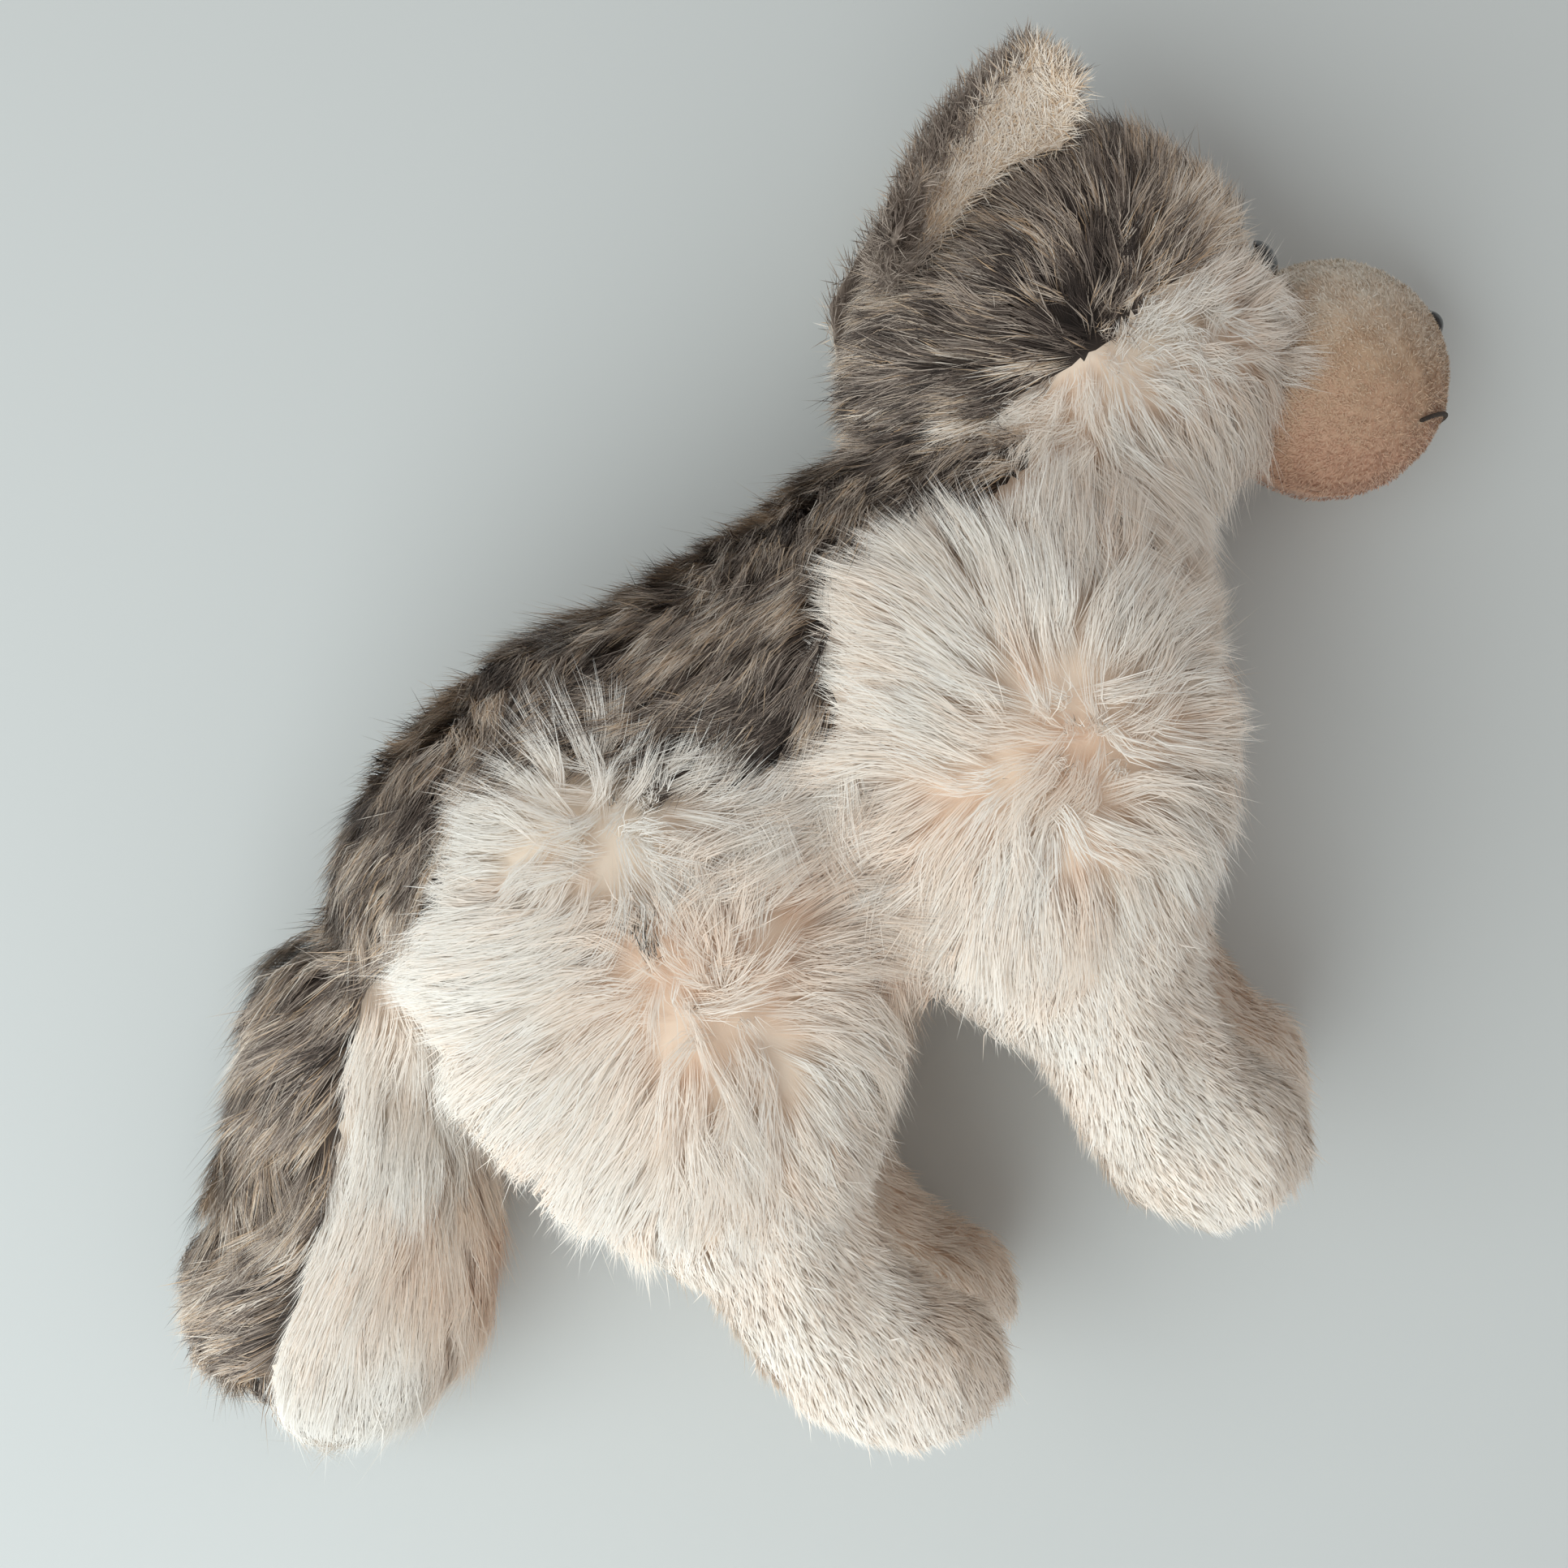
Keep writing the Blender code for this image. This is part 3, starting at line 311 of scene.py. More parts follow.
def remeshed(names, voxel, rounds):
    """Even skin round the outside of CAD nodes: points, triangles and normals."""
    points, triangles, _ = joined_nodes(names)
    mesh = new_mesh("remesh", points, triangles)
    tool = linked("remesh", mesh)
    remesh = tool.modifiers.new("remesh", "REMESH")
    remesh.mode = "VOXEL"
    remesh.voxel_size = voxel
    smooth = tool.modifiers.new("smooth", "SMOOTH")
    smooth.factor = 0.5
    smooth.iterations = rounds
    depsgraph = bpy.context.evaluated_depsgraph_get()
    result = bpy.data.meshes.new_from_object(tool.evaluated_get(depsgraph))
    arrays = mesh_arrays(result)
    bpy.data.objects.remove(tool)
    bpy.data.meshes.remove(mesh)
    bpy.data.meshes.remove(result)
    return outer_shell(*arrays)


def outer_shell(points, triangles, normals):
    """The largest connected shell, without the ones inside it."""
    group = np.arange(len(points))
    while True:
        lowest = group.copy()
        for corner in range(3):
            for other in range(3):
                np.minimum.at(lowest, triangles[:, corner], group[triangles[:, other]])
        lowest = lowest[lowest]
        if np.array_equal(lowest, group):
            break
        group = lowest
    shells, counts = np.unique(group, return_counts=True)
    kept = group == shells[np.argmax(counts)]
    order = np.cumsum(kept) - 1
    faces = triangles[kept[triangles[:, 0]]]
    return points[kept], order[faces], normals[kept]


def nearest_nodes(points, names):
    """For each point, the place in names of the CAD node whose surface is nearest."""
    node_points, node_triangles, owners = joined_nodes(names)
    tree = BVHTree.FromPolygons(node_points.tolist(), node_triangles.tolist())
    found = [tree.find_nearest(Vector(point))[2] for point in points.tolist()]
    return owners[np.array(found)]


def spread_out(values, triangles, count, rounds):
    """Values of points, each drawn towards its neighbours' values over some rounds."""
    for _ in range(rounds):
        total = np.zeros(count)
        number = np.zeros(count)
        for first, second in ((0, 1), (1, 2), (2, 0)):
            np.add.at(total, triangles[:, first], values[triangles[:, second]])
            np.add.at(total, triangles[:, second], values[triangles[:, first]])
            np.add.at(number, triangles[:, first], 1.0)
            np.add.at(number, triangles[:, second], 1.0)
        values = 0.5 * values + 0.5 * total / np.maximum(number, 1.0)
    return values


# How the pile lies, region by region

def away(place, reach, pull=1.0):
    """Pile that lies away from a place."""
    return (None, np.asarray(place), reach, pull)


def one_way(way, place=None, reach=0.0, pull=1.0):
    """Pile that lies one way, everywhere or round a place."""
    return (unit(np.asarray(way, float)), place, reach, pull)


class Pile:
    """How the pile of one cover grows: its length, locks, density, lie and tone."""

    def __init__(self, palette, length, combs, tone, depth=0.006, lock=0.011, density=2.4e6,
                 width=0.00019, gather=0.32, rise=1.0, stray=0.30, frizz=0.0016, wave=0.0012,
                 sway=0.25, streak=0.10):
        self.palette = palette
        self.length = length
        self.combs = combs
        self.tone = tone
        self.depth = depth
        self.lock = lock
        self.density = density * STRAND_SHARE
        self.width = width / math.sqrt(STRAND_SHARE)
        self.gather = gather
        self.rise = rise
        self.stray = stray
        self.frizz = frizz
        self.wave = wave
        self.sway = sway
        self.streak = streak


def ripple(points, length, seed):
    """Smooth uneven value from -1 to 1 over the points, with waves of about this length."""
    rng = np.random.default_rng(seed)
    total = np.zeros(len(points))
    for _ in range(6):
        way = unit(rng.normal(size=3)) * rng.uniform(0.7, 1.5) * 2.0 * math.pi / length
        total += np.sin(points @ way + rng.uniform(0.0, 2.0 * math.pi))
    return np.clip(total / 3.0, -1.0, 1.0)


def gray_tone(points, normals):
    """Tone of gray pile: streaked, with cream at the brow and tan along the edges of saddle and tail."""
    tone = 0.40 + 0.11 * ripple(points, 0.022, 5) + 0.14 * ripple(points, 0.008, 6)
    for place, reach, shift in DARK_MARKS:
        tone -= shift * fade(points, place, reach)
    for place, reach, strength, mark_tone in GRAY_MARKS:
        share = strength * smooth_step(fade(points, place, reach), 0.15, 0.60)
        tone = tone * (1.0 - share) + mark_tone * share
    return tone


def cream_tone(points, normals):
    """Tone of cream pile: paler in the tuft and tail tip; painted light and shade make it paler where it
    faces up and peach low down and in shaded marks.
    """
    tone = 0.62 + 0.10 * normals[:, 2] + 0.10 * smooth_step(points[:, 2], 0.02, 0.10)
    tone += 0.07 * ripple(points, 0.030, 7)
    for place, reach, shift in PALE_AND_SHADE_MARKS:
        tone += shift * fade(points, place, reach)
    return tone


LEG_COMBS = {
    "right_front_leg": (away(SHOULDER_WHORL, 0.20), one_way(LEG_WAY, pull=0.15)),
    "left_front_leg": (away(SHOULDER_WHORL * (1, 1, 0), 0.20), one_way(LEG_WAY, pull=0.3)),
    "right_hind_leg": (away(HAUNCH_WHORL, 0.20), one_way(LEG_WAY, pull=0.15), away(HAUNCH_TUFT, 0.024, 3.0),
                       one_way(heading(0.15, 1.0), place=HAUNCH_TUFT, reach=0.012, pull=2.0)),
    "left_hind_leg": (away(HAUNCH_WHORL * (1, 1, 0), 0.20), one_way(LEG_WAY, pull=0.3)),
}


def leg_piles():
    """Pile of the four legs: long above, short below, and a smooth sole."""
    piles = {}
    for leg, combs in LEG_COMBS.items():
        share = 1.0 if leg.startswith("right") else 0.5
        piles[leg + "_upper_cover"] = Pile(
            "cream", 0.025, combs, cream_tone, density=3.1e6 * share, lock=0.010, rise=1.15, stray=0.25)
        piles[leg + "_lower_cover"] = Pile(
            "cream", 0.0070, (one_way(LEG_WAY),), cream_tone, depth=0.0034, lock=0.004, density=5.2e6 * share,
            gather=0.0, frizz=0.0008, wave=0.0, width=0.00032, rise=0.8, stray=0.12, streak=0.05)
        piles[leg + "_sole"] = Pile(
            "cream", 0.0025, (one_way((1.0, 0.3, 0.0)),), cream_tone, depth=0.0012, lock=0.002,
            density=4.0e6 * share, gather=0.1, frizz=0.0003, wave=0.0, width=0.00025)
    return piles


EYE_COMB = away(EYE_PLACES[0], 0.009, 5.0)
CHEEK_COMBS = (
    away(HEAD_WHORL, 0.2), away(EYE_TUFT, 0.012, 4.0), EYE_COMB,
    one_way(heading(0.5, 1.0), place=BROW_TUFT, reach=0.010, pull=5.0),
    one_way(heading(0.55, -1.0), place=CHEEK_LOCKS, reach=0.024, pull=1.6),
)
PILES = {
    "back_panel": Pile("gray", 0.016, (one_way(SPINE_WAY),), gray_tone, density=3.7e6, lock=0.007, stray=0.60,
                       sway=1.1, streak=0.34, rise=1.25),
    "flank_panel_right": Pile("cream", 0.024, (one_way(heading(0.2, -1.0)),), cream_tone, density=2.6e6),
    "flank_panel_left": Pile("cream", 0.018, (one_way(LEG_WAY),), cream_tone, density=1.0e6),
    "belly_panel": Pile("cream", 0.014, (one_way((-1.0, 0.0, 0.0)),), cream_tone, density=1.6e6),
    "crown_panel": Pile("gray", 0.018, (away(HEAD_WHORL, 0.2), EYE_COMB), gray_tone, density=3.7e6,
                        lock=0.007, sway=0.4, streak=0.32),
    "cheek_panel_right": Pile("cream", 0.026, CHEEK_COMBS, cream_tone, density=3.6e6, lock=0.009, rise=1.2,
                              stray=0.2),
    "cheek_panel_left": Pile("cream", 0.020, (away(HEAD_WHORL * (1, 1, 0), 0.2),), cream_tone, density=1.5e6),
    "tail_top": Pile("gray", 0.020, (one_way(TAIL_WAY),), gray_tone, density=3.6e6, lock=0.008,
                     rise=1.5, stray=0.65, sway=0.7, streak=0.34),
    "tail_underside": Pile("cream", 0.026, (one_way(TAIL_TIP - TAIL_BASE),), cream_tone, density=2.8e6,
                           lock=0.010, stray=0.2),
}
PILES.update(leg_piles())


def lie_of_pile(points, normals, combs):
    """Direction along the surface in which the pile lies at each point."""
    total = np.zeros_like(points)
    for way, place, reach, pull in combs:
        share = np.full(len(points), pull) if place is None else pull * fade(points, place, reach)
        step = unit(points - place) if way is None else np.broadcast_to(way, points.shape)
        total += step * share[:, None]
    return along_surface(total, normals)


# Strands of pile

class Surface:
    """Points, triangles and normals that pile grows on."""

    def __init__(self, points, triangles, normals):
        self.points = points
        self.triangles = triangles
        self.normals = normals
        self.tree = BVHTree.FromPolygons(points.tolist(), triangles.tolist())

    def scattered(self, faces, density, rng):
        """Points spread at random over triangles, with normals; fewer where the toy faces the floor."""
        corners = self.points[faces]
        normals = unit(self.normals[faces].mean(axis=1))
        edges = np.cross(corners[:, 1] - corners[:, 0], corners[:, 2] - corners[:, 0])
        areas = 0.5 * np.linalg.norm(edges, axis=1)
        share = UNDERSIDE_SHARE + (1.0 - UNDERSIDE_SHARE) * smooth_step(normals[:, 2], -0.6, 0.1)
        share = np.where(corners[:, :, 2].mean(axis=1) < LYING_HEIGHT, LYING_SHARE, share)
        counts = rng.poisson(areas * density * share)
        corner = faces[np.repeat(np.arange(len(faces)), counts)]
        weights = rng.dirichlet((1.0, 1.0, 1.0), len(corner))[:, :, None]
        places = (self.points[corner] * weights).sum(axis=1)
        return places, unit((self.normals[corner] * weights).sum(axis=1))


class Skin(Surface):
    """The cloth under the pile, as one even surface round the whole wolf."""

    def __init__(self):
        covers = FUR_COVERS + MUZZLE_COVERS
        points, triangles, normals = remeshed(covers + FILLINGS, SKIN_VOXEL, SKIN_SMOOTHING)
        depths = np.array([PILES[name].depth if name in PILES else BARE_CLOTH_DEPTH for name in covers])
        depth = spread_out(depths[nearest_nodes(points, covers)], triangles, len(points), SKIN_SMOOTHING)
        short_covers = [name for name in LEG_COVERS if not name.endswith("_upper_cover")]
        self.covers = covers
        self.gray = np.array([float(name in PILES and PILES[name].palette == "gray") for name in covers])
        self.short = np.array([name in short_covers or name in MUZZLE_COVERS for name in covers])
        self.owners = nearest_nodes(points[triangles].mean(axis=1), covers)
        points = points - normals * depth[:, None]
        points[:, 2] = np.maximum(points[:, 2], BARE_CLOTH_DEPTH)
        super().__init__(points, triangles, normals)

    def faces_of(self, cover):
        """Triangles of the skin that belong to a cover."""
        return self.triangles[self.owners == self.covers.index(cover)]

    def nearest(self, points):
        """Nearest points of the skin, with the normals and the covers there."""
        found = [self.tree.find_nearest(Vector(point)) for point in points.tolist()]
        places = np.array([hit[0] for hit in found])
        faces = np.array([hit[2] for hit in found])
        return places, unit(self.normals[self.triangles[faces]].mean(axis=1)), self.owners[faces]


def turned_about(vectors, axes, angles):
    """Vectors turned about axes at right angles to them."""
    return vectors * np.cos(angles)[:, None] + np.cross(axes, vectors) * np.sin(angles)[:, None]


def length_share(skin, pile, places, middle_owners, tip_owners):
    """Share of its length that the pile at each place keeps.

    Cream pile that runs over a gray cover is short but for the haunch tuft, so it ends near its seam. Long
    pile that runs over short pile or velour is short too.
    """
    over = skin.gray[tip_owners] > float(pile.palette == "gray")
    near = np.where(skin.gray[middle_owners] > 0.5, SHARE_NEAR_GRAY_PILE, SHARE_OVER_GRAY_PILE)
    share = np.where(over, near, 1.0)
    share = np.maximum(share, fade(places, HAUNCH_TUFT, TUFT_REACH))
    if pile.length > LONG_PILE:
        share = np.where(skin.short[tip_owners], SHARE_OVER_SHORT_PILE, share)
    for place, reach, cut in SHORT_PLACES:
        share = share * (1.0 - cut * fade(places, place, reach))
    return share


def guides(skin, places, normals, pile, spread, rng):
    """Root, middle and tip of a bundle of pile at each place, hugging the skin.

    Gray pile that runs over a cream cover lies low there. Round a whorl the pile lies every way.
    """
    count = len(places)
    way = lie_of_pile(places, normals, pile.combs)
    turn = np.full(count, spread)
    for comb_way, place, _, _ in pile.combs:
        if comb_way is None:
            turn += WHORL_TURN * fade(places, place, WHORL_REACH)
    swing = pile.sway * ripple(places, SWAY_LENGTH, 3) + rng.normal(0.0, 1.0, count) * turn
    way = turned_about(way, normals, swing)
    length = pile.length * rng.uniform(*LENGTH_SPREAD, count)
    middle, middle_normals, middle_owners = skin.nearest(places + way * (0.5 * length)[:, None])
    onward = lie_of_pile(middle, middle_normals, pile.combs)
    onward = turned_about(onward, middle_normals, pile.sway * ripple(middle, SWAY_LENGTH, 3))
    onward = unit(onward * ONWARD_SHARE + along_surface(way, middle_normals) * (1.0 - ONWARD_SHARE))
    tip, tip_normals, tip_owners = skin.nearest(middle + onward * (0.5 * length)[:, None])
    own_gray = float(pile.palette == "gray")
    under = skin.gray[tip_owners] < own_gray
    over = skin.gray[tip_owners] > own_gray
    rise = pile.depth * pile.rise * np.where(under, RISE_OVER_CREAM_PILE, 1.0)
    rise = rise * np.where(over, RISE_OVER_GRAY_PILE, 1.0)
    stand = np.where(under, 0.0, rng.random(count) ** 4 * STANDING_HEIGHT)
    middle_rise = rise * rng.uniform(*MIDDLE_RISE_SPREAD, count) + MIDDLE_STAND_SHARE * stand
    middle = middle + middle_normals * middle_rise[:, None]
    tip = tip + tip_normals * (rise * rng.uniform(*TIP_RISE_SPREAD, count) + stand)[:, None]
    side = np.cross(way, normals) * (rng.normal(0.0, pile.wave, count))[:, None]
    share = length_share(skin, pile, places, middle_owners, tip_owners)
    curve = np.stack((places, middle + side, tip - side), axis=1)
    return places[:, None] + (curve - places[:, None]) * share[:, None, None]


def nearest_index(centres, points):
    """For each point, the index of the nearest centre."""
    tree = KDTree(len(centres))
    for index, centre in enumerate(centres.tolist()):
        tree.insert(centre, index)
    tree.balance()
    return np.array([tree.find(point)[1] for point in points.tolist()])


def bundles(skin, faces, pile, rng):
    """Fine bundles of strands that draw together into the larger locks of one cover."""
    lock_places, lock_normals = skin.scattered(faces, 1.0 / pile.lock ** 2, rng)
    locks = guides(skin, lock_places, lock_normals, pile, pile.stray, rng)
    places, normals = skin.scattered(faces, BUNDLES_PER_LOCK / pile.lock ** 2, rng)
    fine = guides(skin, places, normals, pile, BUNDLE_STRAY_SHARE * pile.stray, rng)
    owner = nearest_index(lock_places, places)
    lean = (locks[owner] - lock_places[owner][:, None]) + places[:, None]
    pull = np.array(LOCK_PULL)[None, :, None] * pile.gather
    fine = fine * (1.0 - LEAN_SHARE) + lean * LEAN_SHARE
    fine = fine * (1.0 - pull) + locks[owner] * pull
    lock_tones = rng.normal(0.0, 1.0, len(lock_places))
    tones = lock_tones[owner] * 0.5 + rng.normal(0.0, 1.0, len(places)) * 0.7
    return places, fine, tones


def curve_at(curves, share):
    """Points of curves through three points each, at a share of their length."""
    share = share[:, None]
    return (curves[:, 0] * (1.0 - share) * (1.0 - 2.0 * share) + curves[:, 1] * 4.0 * share * (1.0 - share)
            + curves[:, 2] * share * (2.0 * share - 1.0))


def strands(skin, faces, pile, rng):
    """Blades of pile: points, triangles, normals and palette places of their corners."""
    centres, curves, bundle_tones = bundles(skin, faces, pile, rng)
    roots, normals = skin.scattered(faces, pile.density, rng)
    count = len(roots)
    owner = nearest_index(centres, roots)
    offset = roots - centres[owner]
    reach = rng.uniform(*REACH_SPREAD, count)
    fuzz = rng.normal(0.0, pile.frizz, (count, 3))
    fuzz = fuzz * np.where(rng.random(count) < WILD_SHARE, WILD_FRIZZ, 1.0)[:, None]
    line = []
    for level in LEVELS:
        gathered = 1.0 - pile.gather * level ** 1.3
        place = curve_at(curves[owner], level * reach) + offset * gathered + fuzz * level ** 1.5
        place[:, 2] = np.maximum(place[:, 2], GROUND_GAP)
        line.append(place)
    tone = pile.tone(roots, normals) + bundle_tones[owner] * pile.streak
    tone = tone + rng.normal(0.0, 0.6 * pile.streak, count)
    return blades(np.stack(line), normals, pile.width * rng.uniform(*WIDTH_SPREAD, count), tone, rng)


def blades(line, normals, widths, tone, rng):
    """Slim blades along lines: the first axis of line is the level, the second the strand.

    A blade is pointed at its root and tip and has two corners midway.
    """
    count = line.shape[1]
    tangents = unit(np.gradient(line, axis=0))
    across = unit(np.cross(line[-1] - line[0], normals))
    twist = rng.uniform(-TWIST_ANGLE, TWIST_ANGLE, count)[:, None]
    tilt = rng.normal(0.0, TILT_SPREAD, (count, 3))
    points = []
    shading = []
    palette = []
    tone = np.clip(tone, 0.01, 0.99)
    for place, level, ends in zip(LEVELS, range(len(LEVELS)), ((0.0,), (-1.0, 1.0), (0.0,))):
        tangent = tangents[level]
        up = unit(np.cross(across, tangent))
        side = across * np.cos(twist) + up * np.sin(twist)
        own = np.cross(side, tangent)
        normal = unit(own * BLADE_NORMAL_SHARE + normals * (1.0 - BLADE_NORMAL_SHARE) + tilt)
        for end in ends:
            points.append(line[level] + side * (0.5 * widths * end)[:, None])
            shading.append(normal)
            palette.append(np.stack((tone + 0.002 * end, np.full(count, 0.01 + 0.98 * place)), axis=1))
    faces = np.array(((0, 2, 1), (1, 2, 3)))
    start = np.arange(count)[:, None, None] * len(points)
    triangles = (faces[None] + start).reshape(-1, 3)
    stack = np.stack(points, axis=1).reshape(-1, 3)
    stack[:, 2] = np.maximum(stack[:, 2], GROUND_GAP)
    shading = np.stack(shading, axis=1).reshape(-1, 3)
    palette = np.stack(palette, axis=1).reshape(-1, 2)
    return stack, triangles, shading, palette


def dressed_piece(name, surface, faces, cloth_tone, cloth_place, pile, material):
    """Cloth and the blades of pile on it as one piece, painted by palette place."""
    used, compact = np.unique(faces, return_inverse=True)
    points, triangles, normals, palette = pile
    tone = np.clip(cloth_tone(surface.points[used], surface.normals[used]), 0.02, 0.98)
    cloth_palette = np.stack((tone, np.full(len(used), cloth_place)), axis=1)
    all_faces = np.concatenate((compact.reshape(-1, 3), triangles + len(used)))
    mesh = new_mesh(name, np.concatenate((surface.points[used], points)), all_faces)
    paint(mesh, np.concatenate((cloth_palette, palette)))
    mesh.shade_smooth()
    mesh.normals_split_custom_set_from_vertices(np.concatenate((surface.normals[used], normals)))
    mesh.materials.append(material)
    return linked(name, mesh)


def linked(name, mesh):
    """Object of a mesh, in the scene."""
    piece = bpy.data.objects.new(name, mesh)
    bpy.context.scene.collection.objects.link(piece)
    return piece


def nap(surface, length, density, width, way, lift, tone, rng):
    """Short brushed pile that lies one way on a surface, but for the place of the nose."""
    roots, normals = surface.scattered(surface.triangles, density, rng)
    bare = np.linalg.norm(roots - node_middle("nose"), axis=1) < NOSE_CLEARING
    roots = roots[~bare]
    normals = normals[~bare]
    count = len(roots)
    lean = along_surface(np.broadcast_to(way, roots.shape) + rng.normal(0.0, 0.8, roots.shape), normals)
    length = (length * rng.uniform(0.7, 1.2, count))[:, None]
    middle = roots + normals * length * 0.6 * lift + lean * length * 0.45
    tip = roots + normals * length * lift + lean * length * 0.85
    line = np.stack((roots, middle, tip))
    line[:, :, 2] = np.maximum(line[:, :, 2], GROUND_GAP)
    tones = tone(roots, normals) + rng.normal(0.0, 0.10, count)
    return blades(line, normals, width * rng.uniform(*WIDTH_SPREAD, count), tones, rng)


def paint(mesh, palette):
    """Gives the mesh its palette places, point by point."""
    layer = mesh.uv_layers.new(name="OFBake")
    corners = np.empty(len(mesh.loops), np.int32)
    mesh.loops.foreach_get("vertex_index", corners)
    layer.data.foreach_set("uv", np.ascontiguousarray(palette[corners], np.float32).ravel())


# Materials

def srgb(red, green, blue):
    """Linear colour of a colour written as on a screen, 0 to 255."""
    values = np.array((red, green, blue)) / 255.0
    linear = np.where(values <= 0.04045, values / 12.92, ((values + 0.055) / 1.055) ** 2.4)
    return (*linear.tolist(), 1.0)


class Nodes:
    """A material's node tree, with short calls to add to it."""

    def __init__(self, name):
        self.material = bpy.data.materials.new(name)
        self.material.use_nodes = True
        self.tree = self.material.node_tree
        self.tree.nodes.clear()
        self.output = self.add("ShaderNodeOutputMaterial")
        self.shader = self.add("ShaderNodeBsdfPrincipled")
        self.link(self.shader.outputs[0], self.output.inputs["Surface"])

    def add(self, kind, **settings):
        """A new node, with its attributes or input values set."""
        node = self.tree.nodes.new(kind)
        for key, value in settings.items():
            if key in node.inputs:
                node.inputs[key].default_value = value
            else:
                setattr(node, key, value)
        return node

    def link(self, source, target):
        """Joins an output to an input."""
        self.tree.links.new(source, target)

    def ramp(self, source, stops):
        """Colour ramp through (place, colour) stops."""
        node = self.add("ShaderNodeValToRGB")
        ramp = node.color_ramp
        for place, colour in stops[1:-1]:
            ramp.elements.new(place).color = colour
        ramp.elements[0].position = stops[0][0]
        ramp.elements[0].color = stops[0][1]
        ramp.elements[-1].position = stops[-1][0]
        ramp.elements[-1].color = stops[-1][1]
        self.link(source, node.inputs["Fac"])
        return node.outputs["Color"]

    def mix(self, share, first, second):
        """One colour mixed into another by a share."""
        node = self.add("ShaderNodeMix", data_type="RGBA")
        self.link(share, node.inputs[0])
        self.link(first, node.inputs[6])
        self.link(second, node.inputs[7])
        return node.outputs[2]

    def settings(self, **values):
        """Constant values on the shader's own sockets."""
        for key, value in values.items():
            self.shader.inputs[key.replace("_", " ")].default_value = value


def gray_value(value):
    """Level of gray as a colour."""
    return (value, value, value, 1.0)


def pile_material(name, roots, tips, rise, sheen, painted_cloth_shade):
    """Pile painted by palette place: across is the strand's tone, up is from its root to its tip.

    The cloth under long pile has the lowest place, where the colour is multiplied by a painted shade of the
    cloth deep under the pile.
    """
    nodes = Nodes(name)
    place = nodes.add("ShaderNodeUVMap", uv_map="OFBake")
    parts = nodes.add("ShaderNodeSeparateXYZ")
    nodes.link(place.outputs[0], parts.inputs[0])
    root = nodes.ramp(parts.outputs[0], roots)
    tip = nodes.ramp(parts.outputs[0], tips)
    share = nodes.ramp(parts.outputs[1], [
        (0.0, gray_value(0.0)), (rise, gray_value(0.55)), (1.0, gray_value(1.0))])
    shade = nodes.ramp(parts.outputs[1], [
        (0.0, gray_value(1.0)), (0.008, gray_value(0.0)), (1.0, gray_value(0.0))])
    colour = nodes.mix(share, root, tip)
    cloth = nodes.add("ShaderNodeMix", data_type="RGBA", blend_type="MULTIPLY")
    nodes.link(shade, cloth.inputs[0])
    nodes.link(colour, cloth.inputs[6])
    cloth.inputs[7].default_value = painted_cloth_shade
    nodes.link(cloth.outputs[2], nodes.shader.inputs["Base Color"])
    nodes.settings(Roughness=0.62, Sheen_Weight=sheen, Sheen_Roughness=0.45, Specular_IOR_Level=0.30)
    return nodes.material


def gray_pile_material():
    """Gray-brown pile with dark roots, tan strands at the far end of the palette, and cloth darkened as
    painted shade.
    """
    roots = [
        (0.0, srgb(44, 37, 34)), (0.35, srgb(92, 79, 71)), (0.65, srgb(160, 140, 124)),
        (0.80, srgb(178, 140, 104)), (0.92, srgb(226, 202, 176)), (1.0, srgb(240, 224, 206)),
    ]
    tips = [
        (0.0, srgb(72, 62, 57)), (0.30, srgb(150, 133, 121)), (0.65, srgb(232, 218, 204)),
        (0.80, srgb(224, 193, 158)), (0.92, srgb(244, 228, 208)), (1.0, srgb(252, 245, 236)),
    ]
    return pile_material("gray_pile_fur", roots, tips, 0.5, 0.0, gray_value(0.6))


def cream_pile_material():
    """Cream pile with peach roots, painted shade deep in the pile, and nearly white tips."""
    roots = [(0.0, srgb(228, 174, 140)), (0.5, srgb(252, 223, 199)), (1.0, srgb(254, 243, 230))]
    tips = [(0.0, srgb(243, 206, 178)), (0.5, srgb(254, 240, 225)), (1.0, srgb(254, 252, 247))]
    return pile_material("cream_pile_fur", roots, tips, 0.45, 0.0, (0.97, 0.94, 0.90, 1.0))


def velour_material():
    """Brushed velour from peach, low down, to pale cream on top."""
    roots = [(0.0, srgb(206, 160, 132)), (0.5, srgb(206, 174, 143)), (1.0, srgb(238, 230, 214))]
    tips = [(0.0, srgb(226, 184, 158)), (0.5, srgb(226, 200, 172)), (1.0, srgb(250, 245, 236))]
    return pile_material("velour_nap", roots, tips, 0.5, 0.35, gray_value(0.9))


def gloss_material():
    """Polished black plastic with a fine orange-peel skin and faint wear."""
    nodes = Nodes("gloss_button")
    place = nodes.add("ShaderNodeTexCoord")
    grain = nodes.add("ShaderNodeTexNoise", Scale=900.0, Detail=3.0)
    nodes.link(place.outputs["Object"], grain.inputs["Vector"])
    colour = nodes.ramp(grain.outputs["Fac"], [
        (0.3, srgb(16, 14, 14)), (0.5, srgb(22, 20, 20)), (0.7, srgb(32, 29, 28))])
    nodes.link(colour, nodes.shader.inputs["Base Color"])
    wear = nodes.add("ShaderNodeMapRange")
    wear.inputs["To Min"].default_value = 0.10
    wear.inputs["To Max"].default_value = 0.24
    nodes.link(grain.outputs["Fac"], wear.inputs["Value"])
    nodes.link(wear.outputs[0], nodes.shader.inputs["Roughness"])
    bump = nodes.add("ShaderNodeBump", Strength=0.08, Distance=0.0002)
    nodes.link(grain.outputs["Fac"], bump.inputs["Height"])
    nodes.link(bump.outputs[0], nodes.shader.inputs["Normal"])
    nodes.settings(Coat_Weight=0.5, Coat_Roughness=0.08)
    return nodes.material


